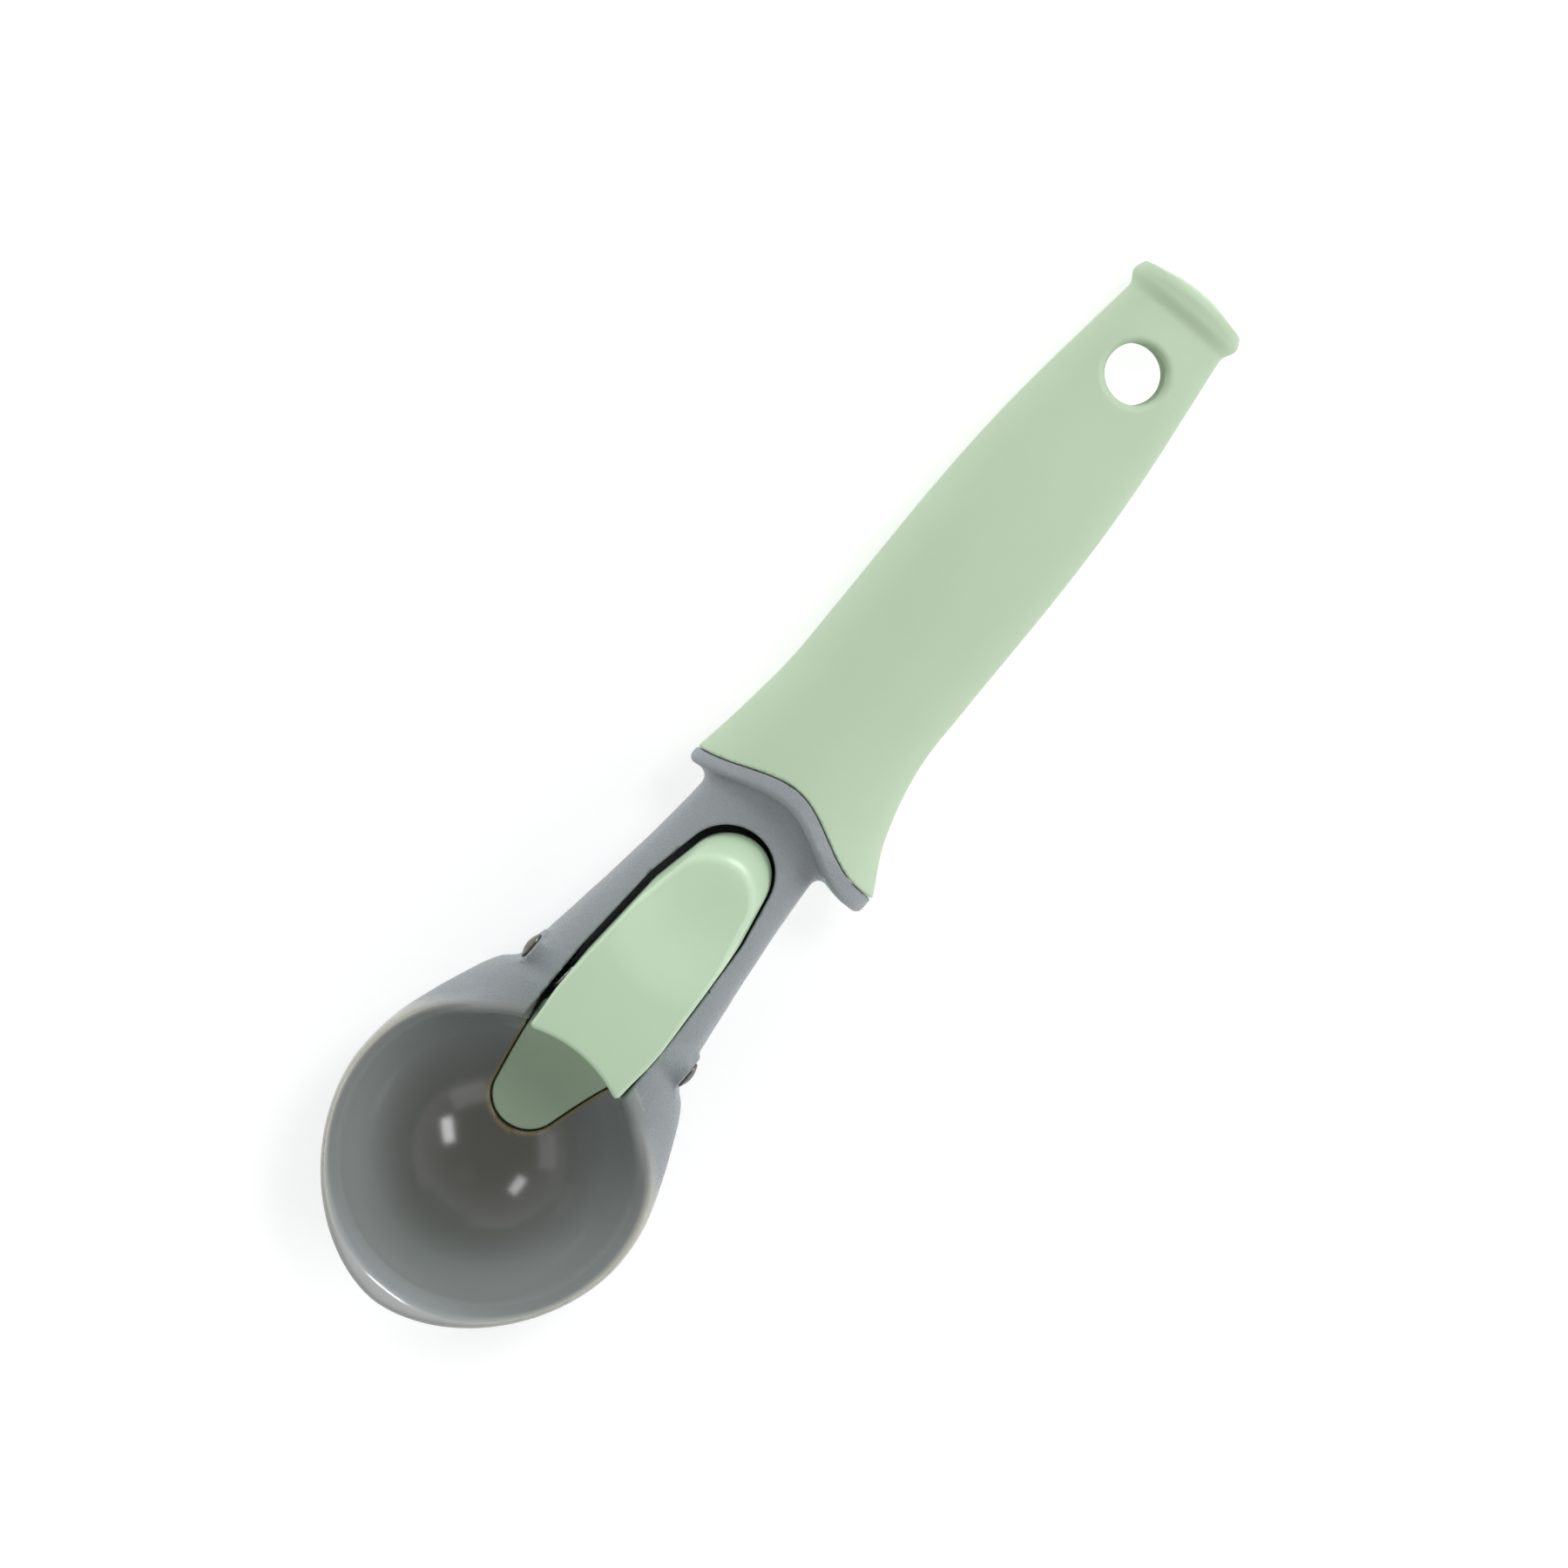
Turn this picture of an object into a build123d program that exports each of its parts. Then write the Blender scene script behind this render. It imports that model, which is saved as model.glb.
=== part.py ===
from build123d import *

import os
from math import asin, atan2, ceil, cos, degrees, dist, hypot, pi, radians, sin, sqrt

# Thumb-lever ice cream scoop, lying on its back with the bowl open upwards.
# Millimetres: +X runs from the lip to the handle's end, +Y is the tool's left, +Z is up.
# The origin is the middle of its footprint on the table.

# Whole tool
overall_length = 195.0
deck_height = 26.5
overrun = 5.0

# Outer form of the bowl and neck: a pear that runs into the collar
bulb_half_width = 25.1
bulb_front_reach = 27.4
lip_point_power = 1.8
neck_reach = 70.0
pear_sections = 33

# Points of the nose's profile, as shares of the front reach
nose_shares = (0.3, 0.55, 0.75, 0.9, 0.97)

# Even rows from the bowl's middle to the neck's end: half-width, middle height,
# lower height and upper height, all over the bulb's half-width
pear_shares = (
    (1.0, 1.0, 1.0, 1.0),
    (0.99, 0.99, 0.982, 0.822),
    (0.955, 0.96, 0.928, 0.56),
    (0.895, 0.901, 0.831, 0.412),
    (0.825, 0.833, 0.717, 0.335),
    (0.746, 0.767, 0.599, 0.382),
    (0.598, 0.717, 0.502, 0.46),
    (0.587, 0.709, 0.469, 0.477),
    (0.564, 0.717, 0.462, 0.478),
    (0.541, 0.722, 0.454, 0.48),
    (0.516, 0.729, 0.45, 0.478),
    (0.496, 0.736, 0.446, 0.469),
    (0.475, 0.745, 0.442, 0.458),
    (0.459, 0.755, 0.438, 0.451),
    (0.446, 0.765, 0.434, 0.446),
    (0.439, 0.772, 0.429, 0.441),
    (0.436, 0.777, 0.426, 0.438),
)

# Bowl and its bevelled lip
bowl_radius = 22.8
bowl_floor = 2.6
bowl_back_wall = 2.5
lip_depth = 2.2
lip_edge = 0.6
lip_rear_width = 1.0

# Channel for the lever, open to the bowl
slot_half_width = 9.65
slot_wide_reach = 33.0
slot_mid_radius = 8.6
slot_mid_reach = 50.05
slot_end_radius = 7.35
slot_end_reach = 55.15
channel_floor = 11.0

# Pivot
pivot_reach = 28.0
pivot_height = 21.5
pin_radius = 1.5
pin_fit = 0.03
boss_radius = 3.1
boss_rise = 0.95
head_radius = 2.15
head_height = 1.05
head_edge_share = 0.35
stud_radius = 0.9
stud_length = 12.0

# Collar and handle
collar_reach = 62.0
collar_apex_reach = 71.0
collar_left_reach = 66.5
collar_right_reach = 64.8
collar_band = 2.2
collar_apex_band = 3.0
collar_axis_height = 19.5
collar_edge_fillet = 0.8
wing_offset = 2.1
wing_half_span = 24.0
wing_turn = 16.8
groove = 0.25
grip_edge_fillet = 0.6
grip_half_width = 12.6
grip_half_height = 10.2
grip_wall = 2.4
tang_gap = 0.15
tang_rib = 3.0

# Even rows from the collar to the end lip: half-width, half-height and sideways offset,
# over the grip's half-sizes and the wing offset
handle_shares = (
    (1.41, 1.12, 1.0),
    (1.175, 1.08, 0.42),
    (1.01, 1.04, 0.04),
    (0.992, 1.01, 0.0),
    (0.996, 0.99, 0.0),
    (0.993, 0.955, 0.0),
    (0.962, 0.87, 0.0),
    (0.888, 0.76, 0.0),
    (0.782, 0.64, 0.0),
    (0.683, 0.48, 0.0),
)
handle_sections = 37

# Handle end
hole_inset = 16.2
hole_radius = 4.4
hole_round = 1.4
lip_half_width = 9.9
lip_half_height = 6.6
lip_length = 4.6
end_radius = 23.0
lip_back_round = 1.2
lip_front_round = 0.9

# Lever
slot_gap = 0.5
pad_front_radius = 20.4
pad_bottom_rise = 1.0
pad_shoulder_rise = 3.0
pad_top = 30.8
pad_end_lean_share = 0.9
pad_arch_radius = 130.0
pad_arch_reach = 40.0
pad_wall = 1.9
pad_roof = 2.8
pad_round = 1.0
dimple_reach = 46.2
dimple_radius = 6.5
dimple_depth = 0.9
hub_radius = 3.5
hub_fit = 0.05
tongue_tip_reach = 4.3
tongue_tip_radius = 5.5
tongue_root_reach = 23.5
tongue_root_radius = 8.6
tongue_thickness = 0.65
tongue_setback = 1.75
tongue_gap = 0.85
tongue_back_gap = 0.45
web_half_width = 4.0
web_length = 6.0
web_drop = 4.5

# Return spring
wire_radius = 0.35
coil_radius = 2.3
coil_room = 5.4
coil_side_gap = 0.3
coil_pocket_gap = 0.45
coil_whole_turns = 3
pad_leg_reach = 13.0
floor_leg_reach = 5.5
leg_gap = 0.3
quarter_turn = 90.0
least_wire_gap = 0.4
gap_samples = 500

# Places worked out from the sizes
bowl_x = bulb_front_reach - overall_length / 2
bowl_z = bowl_floor + bowl_radius
pivot_x = bowl_x + pivot_reach
collar_x = bowl_x + collar_reach
handle_end_x = overall_length / 2
handle_length = handle_end_x - collar_x
skin_length = handle_length - lip_length / 2
hole_x = handle_end_x - hole_inset
tang_end_x = hole_x - hole_radius - hole_round - grip_wall
pad_bottom = pivot_height + pad_bottom_rise
pad_shoulder = pivot_height + pad_shoulder_rise
pad_lean = (pad_top - pad_shoulder) * pad_end_lean_share
pad_pocket_top = pad_top - pad_roof
tongue_tip_x = bowl_x + tongue_tip_reach + tongue_tip_radius
tongue_root_x = bowl_x + tongue_root_reach
hub_left_y = slot_half_width - coil_room
pivot_axis = Axis((pivot_x, 0, pivot_height), (0, 1, 0))


def superellipse(share, power):
    """Give the half-width, as a share, at a share of the reach."""
    return (1 - share**power) ** (1 / power)


def axis_height(x):
    """Give the height of the handle's middle line at x."""
    return collar_axis_height + (lip_half_height - collar_axis_height) * (x - collar_x) / handle_length


def between(rows, place):
    """Give the smooth row at a place from 0 to 1. The rows have one more at each end."""
    spans = len(rows) - 3
    index = min(int(place * spans), spans - 1)
    t = place * spans - index
    return [
        b + ((c - a) * t + (2 * a - 5 * b + 4 * c - d) * t**2 + (3 * b - a - 3 * c + d) * t**3) / 2
        for a, b, c, d in zip(*rows[index : index + 4])
    ]


# Plan of the collar: a wave that sweeps forward at both wings and back over the middle
waves = {}
for wave_name, setback, apex_setback in (
    ("front", -collar_band, -collar_apex_band),
    ("rear", 0, 0),
    ("grip", groove, groove),
):
    with BuildLine() as wave:
        left_x = bowl_x + collar_left_reach + setback
        right_x = bowl_x + collar_right_reach + setback
        apex = (bowl_x + collar_apex_reach + apex_setback, 0)
        Line((left_x, wing_half_span), (left_x, wing_turn))
        Spline((left_x, wing_turn), apex, tangents=((0, -1), (0, -1)))
        Spline(apex, (right_x, -wing_turn), tangents=((0, -1), (0, -1)))
        Line((right_x, -wing_turn), (right_x, -wing_half_span))
    waves[wave_name] = wave.wire()

# Everything behind the front, the rear and the grip's wave
zones = {}
for wave_name, wave in waves.items():
    with BuildSketch() as zone:
        with BuildLine():
            add(wave)
            Polyline(
                wave @ 0,
                (handle_end_x + overrun, wing_half_span),
                (handle_end_x + overrun, -wing_half_span),
                wave @ 1,
            )
        make_face()
    zones[wave_name] = zone.sketch

# Three skins of the handle: its outside, the grip's hollow, and the tang inside that
handle_rows = (handle_shares[0], *handle_shares, handle_shares[-1])
skins = {}
for skin_name, inset in (("outside", 0), ("hollow", grip_wall), ("tang", grip_wall + tang_gap)):
    with BuildPart() as skin:
        for index in range(handle_sections):
            place = index / (handle_sections - 1)
            width, height, sideways = between(handle_rows, place)
            station_x = collar_x + skin_length * place
            with BuildSketch(Plane.YZ.offset(station_x)):
                with Locations((-wing_offset * sideways, axis_height(station_x))):
                    Ellipse(grip_half_width * width - inset, grip_half_height * height - inset)
        loft()
    skins[skin_name] = skin.part

# Nose: the bowl's front half outside, drawn to a blunt point
with BuildPart() as nose:
    with BuildSketch(Plane.XZ):
        with BuildLine():
            profile = Spline(
                (bowl_x, 2 * bulb_half_width),
                *[
                    (
                        bowl_x - bulb_front_reach * share,
                        bulb_half_width * (1 + superellipse(share, lip_point_power)),
                    )
                    for share in nose_shares
                ],
                (bowl_x - bulb_front_reach, bulb_half_width),
                tangents=((-1, 0), (0, -1)),
            )
            Polyline(profile @ 1, (bowl_x, bulb_half_width), profile @ 0)
        make_face()
    revolve(axis=Axis((bowl_x, 0, bulb_half_width), (1, 0, 0)))

# Pear: the rear half outside, running into the neck, each station two half ellipses
pear_rows = (pear_shares[1], *pear_shares, pear_shares[-1])
with BuildPart() as pear:
    sections = []
    for index in range(pear_sections):
        place = index / (pear_sections - 1)
        half_width, middle, lower, upper = [bulb_half_width * value for value in between(pear_rows, place)]
        with BuildSketch(Plane.YZ.offset(bowl_x + neck_reach * place), mode=Mode.PRIVATE) as section:
            with BuildLine():
                EllipticalCenterArc((0, middle), half_width, upper, 0, arc_size=180)
                EllipticalCenterArc((0, middle), half_width, lower, 180, arc_size=180)
            make_face()
        sections.append(section.sketch.face())
    loft(sections)
    add(nose.part)
    split(bisect_by=Plane.XY.offset(deck_height), keep=Keep.BOTTOM)
    extrude(zones["rear"], amount=deck_height + overrun, mode=Mode.SUBTRACT)

with BuildPart() as collar:
    add(skins["outside"])
    extrude(zones["front"], amount=2 * collar_axis_height, mode=Mode.INTERSECT)
    extrude(zones["rear"], amount=2 * collar_axis_height, mode=Mode.SUBTRACT)
    collar_ends = collar.faces().filter_by(GeomType.BSPLINE, reverse=True)
    fillet(collar_ends.edges().filter_by(GeomType.LINE, reverse=True), collar_edge_fillet)

# Tang: two crossed ribs that fill the grip's hollow up to the hanging hole
tang_stop_x = tang_end_x - tang_gap
with BuildPart() as tang:
    with BuildSketch(Plane.XZ):
        with BuildLine():
            Polyline(
                (collar_x, axis_height(collar_x) - tang_rib / 2),
                (tang_stop_x, axis_height(tang_stop_x) - tang_rib / 2),
                (tang_stop_x, axis_height(tang_stop_x) + tang_rib / 2),
                (collar_x, axis_height(collar_x) + tang_rib / 2),
                close=True,
            )
        make_face()
    extrude(amount=wing_half_span, both=True)
    with Locations((collar_x, 0, 0)):
        Box(
            tang_stop_x - collar_x,
            tang_rib,
            2 * collar_axis_height,
            align=(Align.MIN, Align.CENTER, Align.MIN),
        )
    add(skins["tang"], mode=Mode.INTERSECT)
    extrude(zones["rear"], amount=2 * collar_axis_height, mode=Mode.INTERSECT)

# Bosses stand a little proud of the neck's flanks at the pivot
neck_width, neck_middle, neck_lower, neck_upper = [
    bulb_half_width * value for value in between(pear_rows, pivot_reach / neck_reach)
]
pivot_lift_share = (pivot_height - neck_middle) / neck_upper
boss_half_span = neck_width * sqrt(1 - pivot_lift_share**2) + boss_rise

# Slot: a long rounded opening that narrows towards the collar
with BuildSketch() as slot:
    with Locations((bowl_x + slot_wide_reach, 0)):
        Circle(slot_half_width)
    with Locations((bowl_x + slot_mid_reach, 0)):
        Circle(slot_mid_radius)
    with Locations((bowl_x + slot_end_reach, 0)):
        Circle(slot_end_radius)
    make_hull()
    with Locations((bowl_x + slot_wide_reach, 0)):
        Rectangle(slot_wide_reach, 2 * slot_half_width, align=(Align.MAX, Align.CENTER))

with BuildSketch() as tongue_plan:
    with Locations((tongue_tip_x, 0)):
        Circle(tongue_tip_radius)
    with Locations((tongue_root_x, 0)):
        Circle(tongue_root_radius)
    make_hull()

with BuildPart() as channel:
    extrude(slot.sketch, amount=deck_height + overrun)
    split(bisect_by=Plane.XY.offset(channel_floor), keep=Keep.TOP)
    with Locations((bowl_x, 0, bowl_z)):
        Sphere(bowl_radius + bowl_back_wall, mode=Mode.SUBTRACT)

with BuildPart() as notch:
    extrude(slot.sketch, amount=deck_height + overrun)
    split(bisect_by=Plane.XY.offset(pad_bottom - slot_gap), keep=Keep.TOP)

with BuildPart() as tongue_pocket:
    with BuildSketch():
        add(tongue_plan.sketch)
        offset(amount=tongue_gap)
    extrude(amount=deck_height)
    with Locations((bowl_x + tongue_setback, 0, bowl_z)):
        Sphere(bowl_radius + tongue_thickness + tongue_back_gap, mode=Mode.INTERSECT)

# Lip bevel: from the round bowl out to the pointed edge
bevel_z = deck_height - lip_depth
rim_radius = sqrt(bowl_radius**2 - (bowl_z - bevel_z) ** 2)
edge_front = bulb_front_reach - lip_edge
edge_side = bulb_half_width - lip_edge
edge_power = 2 / lip_point_power
edge_points = [
    (
        bowl_x - edge_front * sin(radians(turn)) ** edge_power,
        edge_side * cos(radians(turn)) ** edge_power,
    )
    for turn in (22.5, 45.0, 67.5, 90.0)
]

with BuildPart() as lip_bevel:
    with BuildSketch(Plane.XY.offset(bevel_z)):
        with BuildLine():
            CenterArc((bowl_x, 0), rim_radius, 90, 180)
            CenterArc((bowl_x, 0), rim_radius, 270, 180)
        make_face()
    with BuildSketch(Plane.XY.offset(deck_height)):
        with BuildLine():
            Spline(
                (bowl_x, edge_side),
                *edge_points,
                *[(x, -y) for x, y in reversed(edge_points[:-1])],
                (bowl_x, -edge_side),
                tangents=((-1, 0), (1, 0)),
            )
            EllipticalCenterArc((bowl_x, 0), rim_radius + lip_rear_width, edge_side, 270, arc_size=180)
        make_face()
    loft(ruled=True)

with BuildPart() as scoop_body:
    add(pear.part)
    add(collar.part)
    add(tang.part)
    with Locations((pivot_x, 0, pivot_height)):
        Cylinder(boss_radius, 2 * boss_half_span, rotation=(90, 0, 0))
    with Locations((bowl_x, 0, bowl_z)):
        Sphere(bowl_radius, mode=Mode.SUBTRACT)
    add(lip_bevel.part, mode=Mode.SUBTRACT)
    add(channel.part, mode=Mode.SUBTRACT)
    add(notch.part, mode=Mode.SUBTRACT)
    add(tongue_pocket.part, mode=Mode.SUBTRACT)
    with Locations((pivot_x, 0, pivot_height)):
        Cylinder(
            pin_radius + pin_fit,
            2 * (boss_half_span + overrun),
            rotation=(90, 0, 0),
            mode=Mode.SUBTRACT,
        )

# End lip of the grip, domed at the back
with BuildPart() as end_lip:
    with BuildSketch(Plane.YZ.offset(handle_end_x - lip_length)):
        with Locations((0, lip_half_height)):
            Ellipse(lip_half_width, lip_half_height)
    extrude(amount=lip_length)
    with Locations((handle_end_x - end_radius, 0, lip_half_height)):
        Sphere(end_radius, mode=Mode.INTERSECT)
    fillet(end_lip.edges().sort_by(Axis.X)[-1], lip_back_round)
    fillet(end_lip.faces().sort_by(Axis.X)[0].edges(), lip_front_round)

with BuildPart() as hollow:
    add(skins["hollow"])
    split(bisect_by=Plane.YZ.offset(tang_end_x), keep=Keep.BOTTOM)

with BuildPart() as grip:
    add(skins["outside"])
    extrude(zones["grip"], amount=2 * collar_axis_height, mode=Mode.INTERSECT)
    grip_front = grip.faces().filter_by(GeomType.BSPLINE, reverse=True).sort_by(Axis.X)[:-1]
    fillet(grip_front.edges().filter_by(GeomType.LINE, reverse=True), grip_edge_fillet)
    add(end_lip.part)
    add(hollow.part, mode=Mode.SUBTRACT)
    with Locations((hole_x, 0, axis_height(hole_x))):
        Cylinder(hole_radius, 2 * collar_axis_height, mode=Mode.SUBTRACT)
    hole_wall = grip.faces().filter_by(GeomType.CYLINDER).sort_by(SortBy.AREA)[-1]
    fillet(hole_wall.edges().filter_by(GeomType.LINE, reverse=True), hole_round)

# Thumb pad: a skirt in the slot, then a crown whose rear end leans forward
with BuildPart() as pad:
    with BuildSketch(Plane.XY.offset(pad_bottom)):
        add(slot.sketch)
        offset(amount=-slot_gap, mode=Mode.REPLACE)
    extrude(amount=pad_shoulder - pad_bottom)
    with BuildSketch(Plane.XY.offset(pad_shoulder)):
        add(slot.sketch)
        offset(amount=-slot_gap, mode=Mode.REPLACE)
    extrude(amount=hypot(pad_top - pad_shoulder, pad_lean), dir=(-pad_end_lean_share, 0, 1))
    with Locations((bowl_x, 0, pad_bottom)):
        Cylinder(
            pad_front_radius,
            pad_top,
            align=(Align.CENTER, Align.CENTER, Align.MIN),
            mode=Mode.SUBTRACT,
        )
    with Locations((bowl_x + pad_arch_reach, 0, pad_top - pad_arch_radius)):
        Cylinder(pad_arch_radius, 2 * wing_half_span, rotation=(90, 0, 0), mode=Mode.INTERSECT)
    fillet(pad.faces().sort_by(Axis.Z)[-1].edges(), pad_round)
    with BuildSketch(Plane.XY.offset(pad_bottom)) as pad_pocket:
        with Locations((bowl_x + slot_wide_reach, 0)):
            Circle(slot_half_width - slot_gap - pad_wall)
        with Locations((bowl_x + slot_end_reach - pad_lean, 0)):
            Circle(slot_end_radius - slot_gap - pad_wall)
        make_hull()
        with Locations((bowl_x + slot_wide_reach, 0)):
            Rectangle(
                slot_wide_reach - pivot_reach + pin_radius,
                2 * (slot_half_width - slot_gap - pad_wall),
                align=(Align.MAX, Align.CENTER),
            )
    extrude(amount=pad_pocket_top - pad_bottom, mode=Mode.SUBTRACT)
    dimple_sphere = (dimple_radius**2 + dimple_depth**2) / (2 * dimple_depth)
    with Locations((bowl_x + dimple_reach, 0, pad_top - dimple_depth + dimple_sphere)):
        Sphere(dimple_sphere, mode=Mode.SUBTRACT)

# Tongue: a thin shell flush with the bowl's inside
with BuildPart() as tongue:
    extrude(tongue_plan.sketch, amount=pad_bottom + pad_bottom_rise)
    with Locations((bowl_x + tongue_setback, 0, bowl_z)):
        Sphere(bowl_radius + tongue_thickness, mode=Mode.INTERSECT)
    with Locations((bowl_x, 0, bowl_z)):
        Sphere(bowl_radius, mode=Mode.SUBTRACT)

with BuildPart() as web:
    with Locations((pivot_x, 0, pivot_height - web_drop)):
        Box(
            web_length,
            2 * web_half_width,
            web_drop + pad_shoulder_rise,
            align=(Align.MAX, Align.CENTER, Align.MIN),
        )
    with Locations((bowl_x, 0, bowl_z)):
        Sphere(bowl_radius, mode=Mode.SUBTRACT)

with BuildPart() as ejector_lever:
    add(pad.part)
    add(web.part)
    add(tongue.part)
    with Locations((pivot_x, hub_left_y, pivot_height)):
        Cylinder(
            hub_radius,
            hub_left_y + slot_half_width - slot_gap,
            rotation=(90, 0, 0),
            align=(Align.CENTER, Align.CENTER, Align.MIN),
        )
    with Locations((pivot_x, hub_left_y, pivot_height)):
        Cylinder(
            coil_radius + wire_radius + coil_pocket_gap,
            coil_room + overrun,
            rotation=(-90, 0, 0),
            align=(Align.CENTER, Align.CENTER, Align.MIN),
            mode=Mode.SUBTRACT,
        )
    with Locations((pivot_x, 0, pivot_height)):
        Cylinder(
            pin_radius + hub_fit,
            2 * (slot_half_width + overrun),
            rotation=(90, 0, 0),
            mode=Mode.SUBTRACT,
        )

# Pivot rivet in two halves: radius along the sketch's x, the tool's left along its y
pivot_plane = Plane((pivot_x, 0, pivot_height), x_dir=(1, 0, 0), z_dir=(0, 0, 1))
barrel_end = stud_radius - boss_half_span
stud_top = stud_length - boss_half_span
head_top = boss_half_span + head_height
head_edge = boss_half_span + head_height * head_edge_share

with BuildPart() as pivot_barrel:
    with BuildSketch(pivot_plane):
        with BuildLine():
            dome = TangentArc((0, head_top), (head_radius, head_edge), tangent=(1, 0))
            Polyline(
                dome @ 1,
                (head_radius, boss_half_span),
                (pin_radius, boss_half_span),
                (pin_radius, barrel_end),
                (stud_radius + pin_fit, barrel_end),
                (stud_radius + pin_fit, stud_top + stud_radius),
                (0, stud_top + stud_radius),
                dome @ 0,
            )
        make_face()
    revolve(axis=pivot_axis)

with BuildPart() as pivot_stud:
    with BuildSketch(pivot_plane):
        with BuildLine():
            dome = TangentArc((0, -head_top), (head_radius, -head_edge), tangent=(1, 0))
            Polyline(
                dome @ 1,
                (head_radius, -boss_half_span),
                (stud_radius, -boss_half_span),
                (stud_radius, stud_top),
                (0, stud_top),
                dome @ 0,
            )
        make_face()
    revolve(axis=pivot_axis)

# Return spring: leg on the channel floor, coils round the pivot, leg under the pad
floor_end = (floor_leg_reach, channel_floor + wire_radius + leg_gap - pivot_height)
pad_end = (pad_leg_reach, pad_pocket_top - wire_radius - leg_gap - pivot_height)
outer_y = slot_half_width - coil_side_gap - wire_radius
inner_y = hub_left_y + coil_side_gap + wire_radius
floor_angle = atan2(floor_end[1], floor_end[0]) + asin(coil_radius / hypot(*floor_end))
pad_angle = atan2(pad_end[1], pad_end[0]) - asin(coil_radius / hypot(*pad_end))
coil_start = floor_angle - pi / 2
coil_turn = coil_start - pad_angle - pi / 2
coil_turn = coil_turn % (2 * pi) + 2 * pi * coil_whole_turns
coil_steps = ceil(degrees(coil_turn) / quarter_turn)


def coil_point(step):
    """Give the wire's middle on the coil after a number of steps."""
    angle = coil_start - coil_turn * step / coil_steps
    return Vector(
        pivot_x + coil_radius * cos(angle),
        outer_y + (inner_y - outer_y) * step / coil_steps,
        pivot_height + coil_radius * sin(angle),
    )


def coil_tangent(step):
    """Give the wire's direction on the coil: level with the legs at both ends."""
    angle = coil_start - coil_turn * step / coil_steps
    rise = (inner_y - outer_y) / (coil_radius * coil_turn) if 0 < step < coil_steps else 0
    return Vector(sin(angle), rise, -cos(angle)).normalized()


def arc_joint(start, start_way, end, end_way):
    """Give the point where two arcs meet that run from start to end along both ways."""
    chord = end - start
    bend = 2 * (1 - start_way.dot(end_way))
    along = chord.dot(start_way + end_way)
    reach = (sqrt(along**2 + bend * chord.dot(chord)) - along) / bend
    return (start + end + (start_way - end_way) * reach) / 2


with BuildPart() as return_spring:
    with BuildLine() as wire:
        Line((pivot_x + floor_end[0], outer_y, pivot_height + floor_end[1]), coil_point(0))
        for step in range(coil_steps):
            joint = arc_joint(
                coil_point(step), coil_tangent(step), coil_point(step + 1), coil_tangent(step + 1)
            )
            lead = TangentArc(coil_point(step), joint, tangent=coil_tangent(step))
            TangentArc(lead @ 1, coil_point(step + 1), tangent=lead % 1)
        Line(coil_point(coil_steps), (pivot_x + pad_end[0], inner_y, pivot_height + pad_end[1]))
    path = wire.wire()
    with BuildSketch(Plane(origin=path @ 0, z_dir=path % 0)):
        Circle(wire_radius)
    sweep()

# Least gap between neighbouring coils, measured on points along the wire
samples = [tuple(path @ (index / gap_samples)) for index in range(gap_samples + 1)]
half_coil = ceil(gap_samples * pi * coil_radius / path.length)
wire_gap = (
    min(dist(first, second) for at, first in enumerate(samples) for second in samples[at + half_coil :])
    - 2 * wire_radius
)
print("least gap in the return spring", round(wire_gap, 3), "wanted over", least_wire_gap)

scoop_body.part.label = "scoop_body"
grip.part.label = "grip"
ejector_lever.part.label = "ejector_lever"
pivot_barrel.part.label = "pivot_barrel"
pivot_stud.part.label = "pivot_stud"
return_spring.part.label = "return_spring"

os.makedirs("parts", exist_ok=True)
export_step(scoop_body.part, "parts/scoop_body.step")
export_step(grip.part, "parts/grip.step")
export_step(ejector_lever.part, "parts/ejector_lever.step")
export_step(pivot_barrel.part, "parts/pivot_barrel.step")
export_step(pivot_stud.part, "parts/pivot_stud.step")
export_step(return_spring.part, "parts/return_spring.step")
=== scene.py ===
"""Looks of a thumb-lever ice cream scoop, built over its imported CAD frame.

Sizes in the classes are millimetres in the CAD frame: +X runs from the lip to the handle's end,
+Y is the tool's left and +Z is up, out of the open bowl. Meshes are written in metres. A reach is a
place along X, measured from the bowl's middle. A span is the pair of values over which a step runs.
"""

import logging
import math
from dataclasses import dataclass
from enum import Enum
from typing import Any, Callable

import bpy
import numpy as np
from mathutils import Matrix, Quaternion, Vector


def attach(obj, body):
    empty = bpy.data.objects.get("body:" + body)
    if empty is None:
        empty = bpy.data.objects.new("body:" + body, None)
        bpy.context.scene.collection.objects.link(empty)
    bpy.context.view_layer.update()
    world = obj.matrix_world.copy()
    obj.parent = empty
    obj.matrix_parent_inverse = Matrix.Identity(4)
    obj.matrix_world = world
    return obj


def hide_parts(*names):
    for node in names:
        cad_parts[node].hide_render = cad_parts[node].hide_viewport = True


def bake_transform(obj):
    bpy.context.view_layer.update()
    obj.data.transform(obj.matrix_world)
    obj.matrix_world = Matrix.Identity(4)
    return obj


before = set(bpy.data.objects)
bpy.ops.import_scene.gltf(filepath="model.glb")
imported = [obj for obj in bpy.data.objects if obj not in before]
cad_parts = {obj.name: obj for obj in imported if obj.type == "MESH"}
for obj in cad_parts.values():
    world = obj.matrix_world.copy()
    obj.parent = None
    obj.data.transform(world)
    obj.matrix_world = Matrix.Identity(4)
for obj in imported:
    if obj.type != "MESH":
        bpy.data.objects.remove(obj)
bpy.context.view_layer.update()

Array = np.ndarray
Field = Callable[[Array], Array]
Span = tuple[float, float]
Place = tuple[float, float, float]

MM = 0.001
TINY = 1e-6
PAINTED_GAP_LINE = "painted_gap_line"
LOG = logging.getLogger("scoop")

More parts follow.
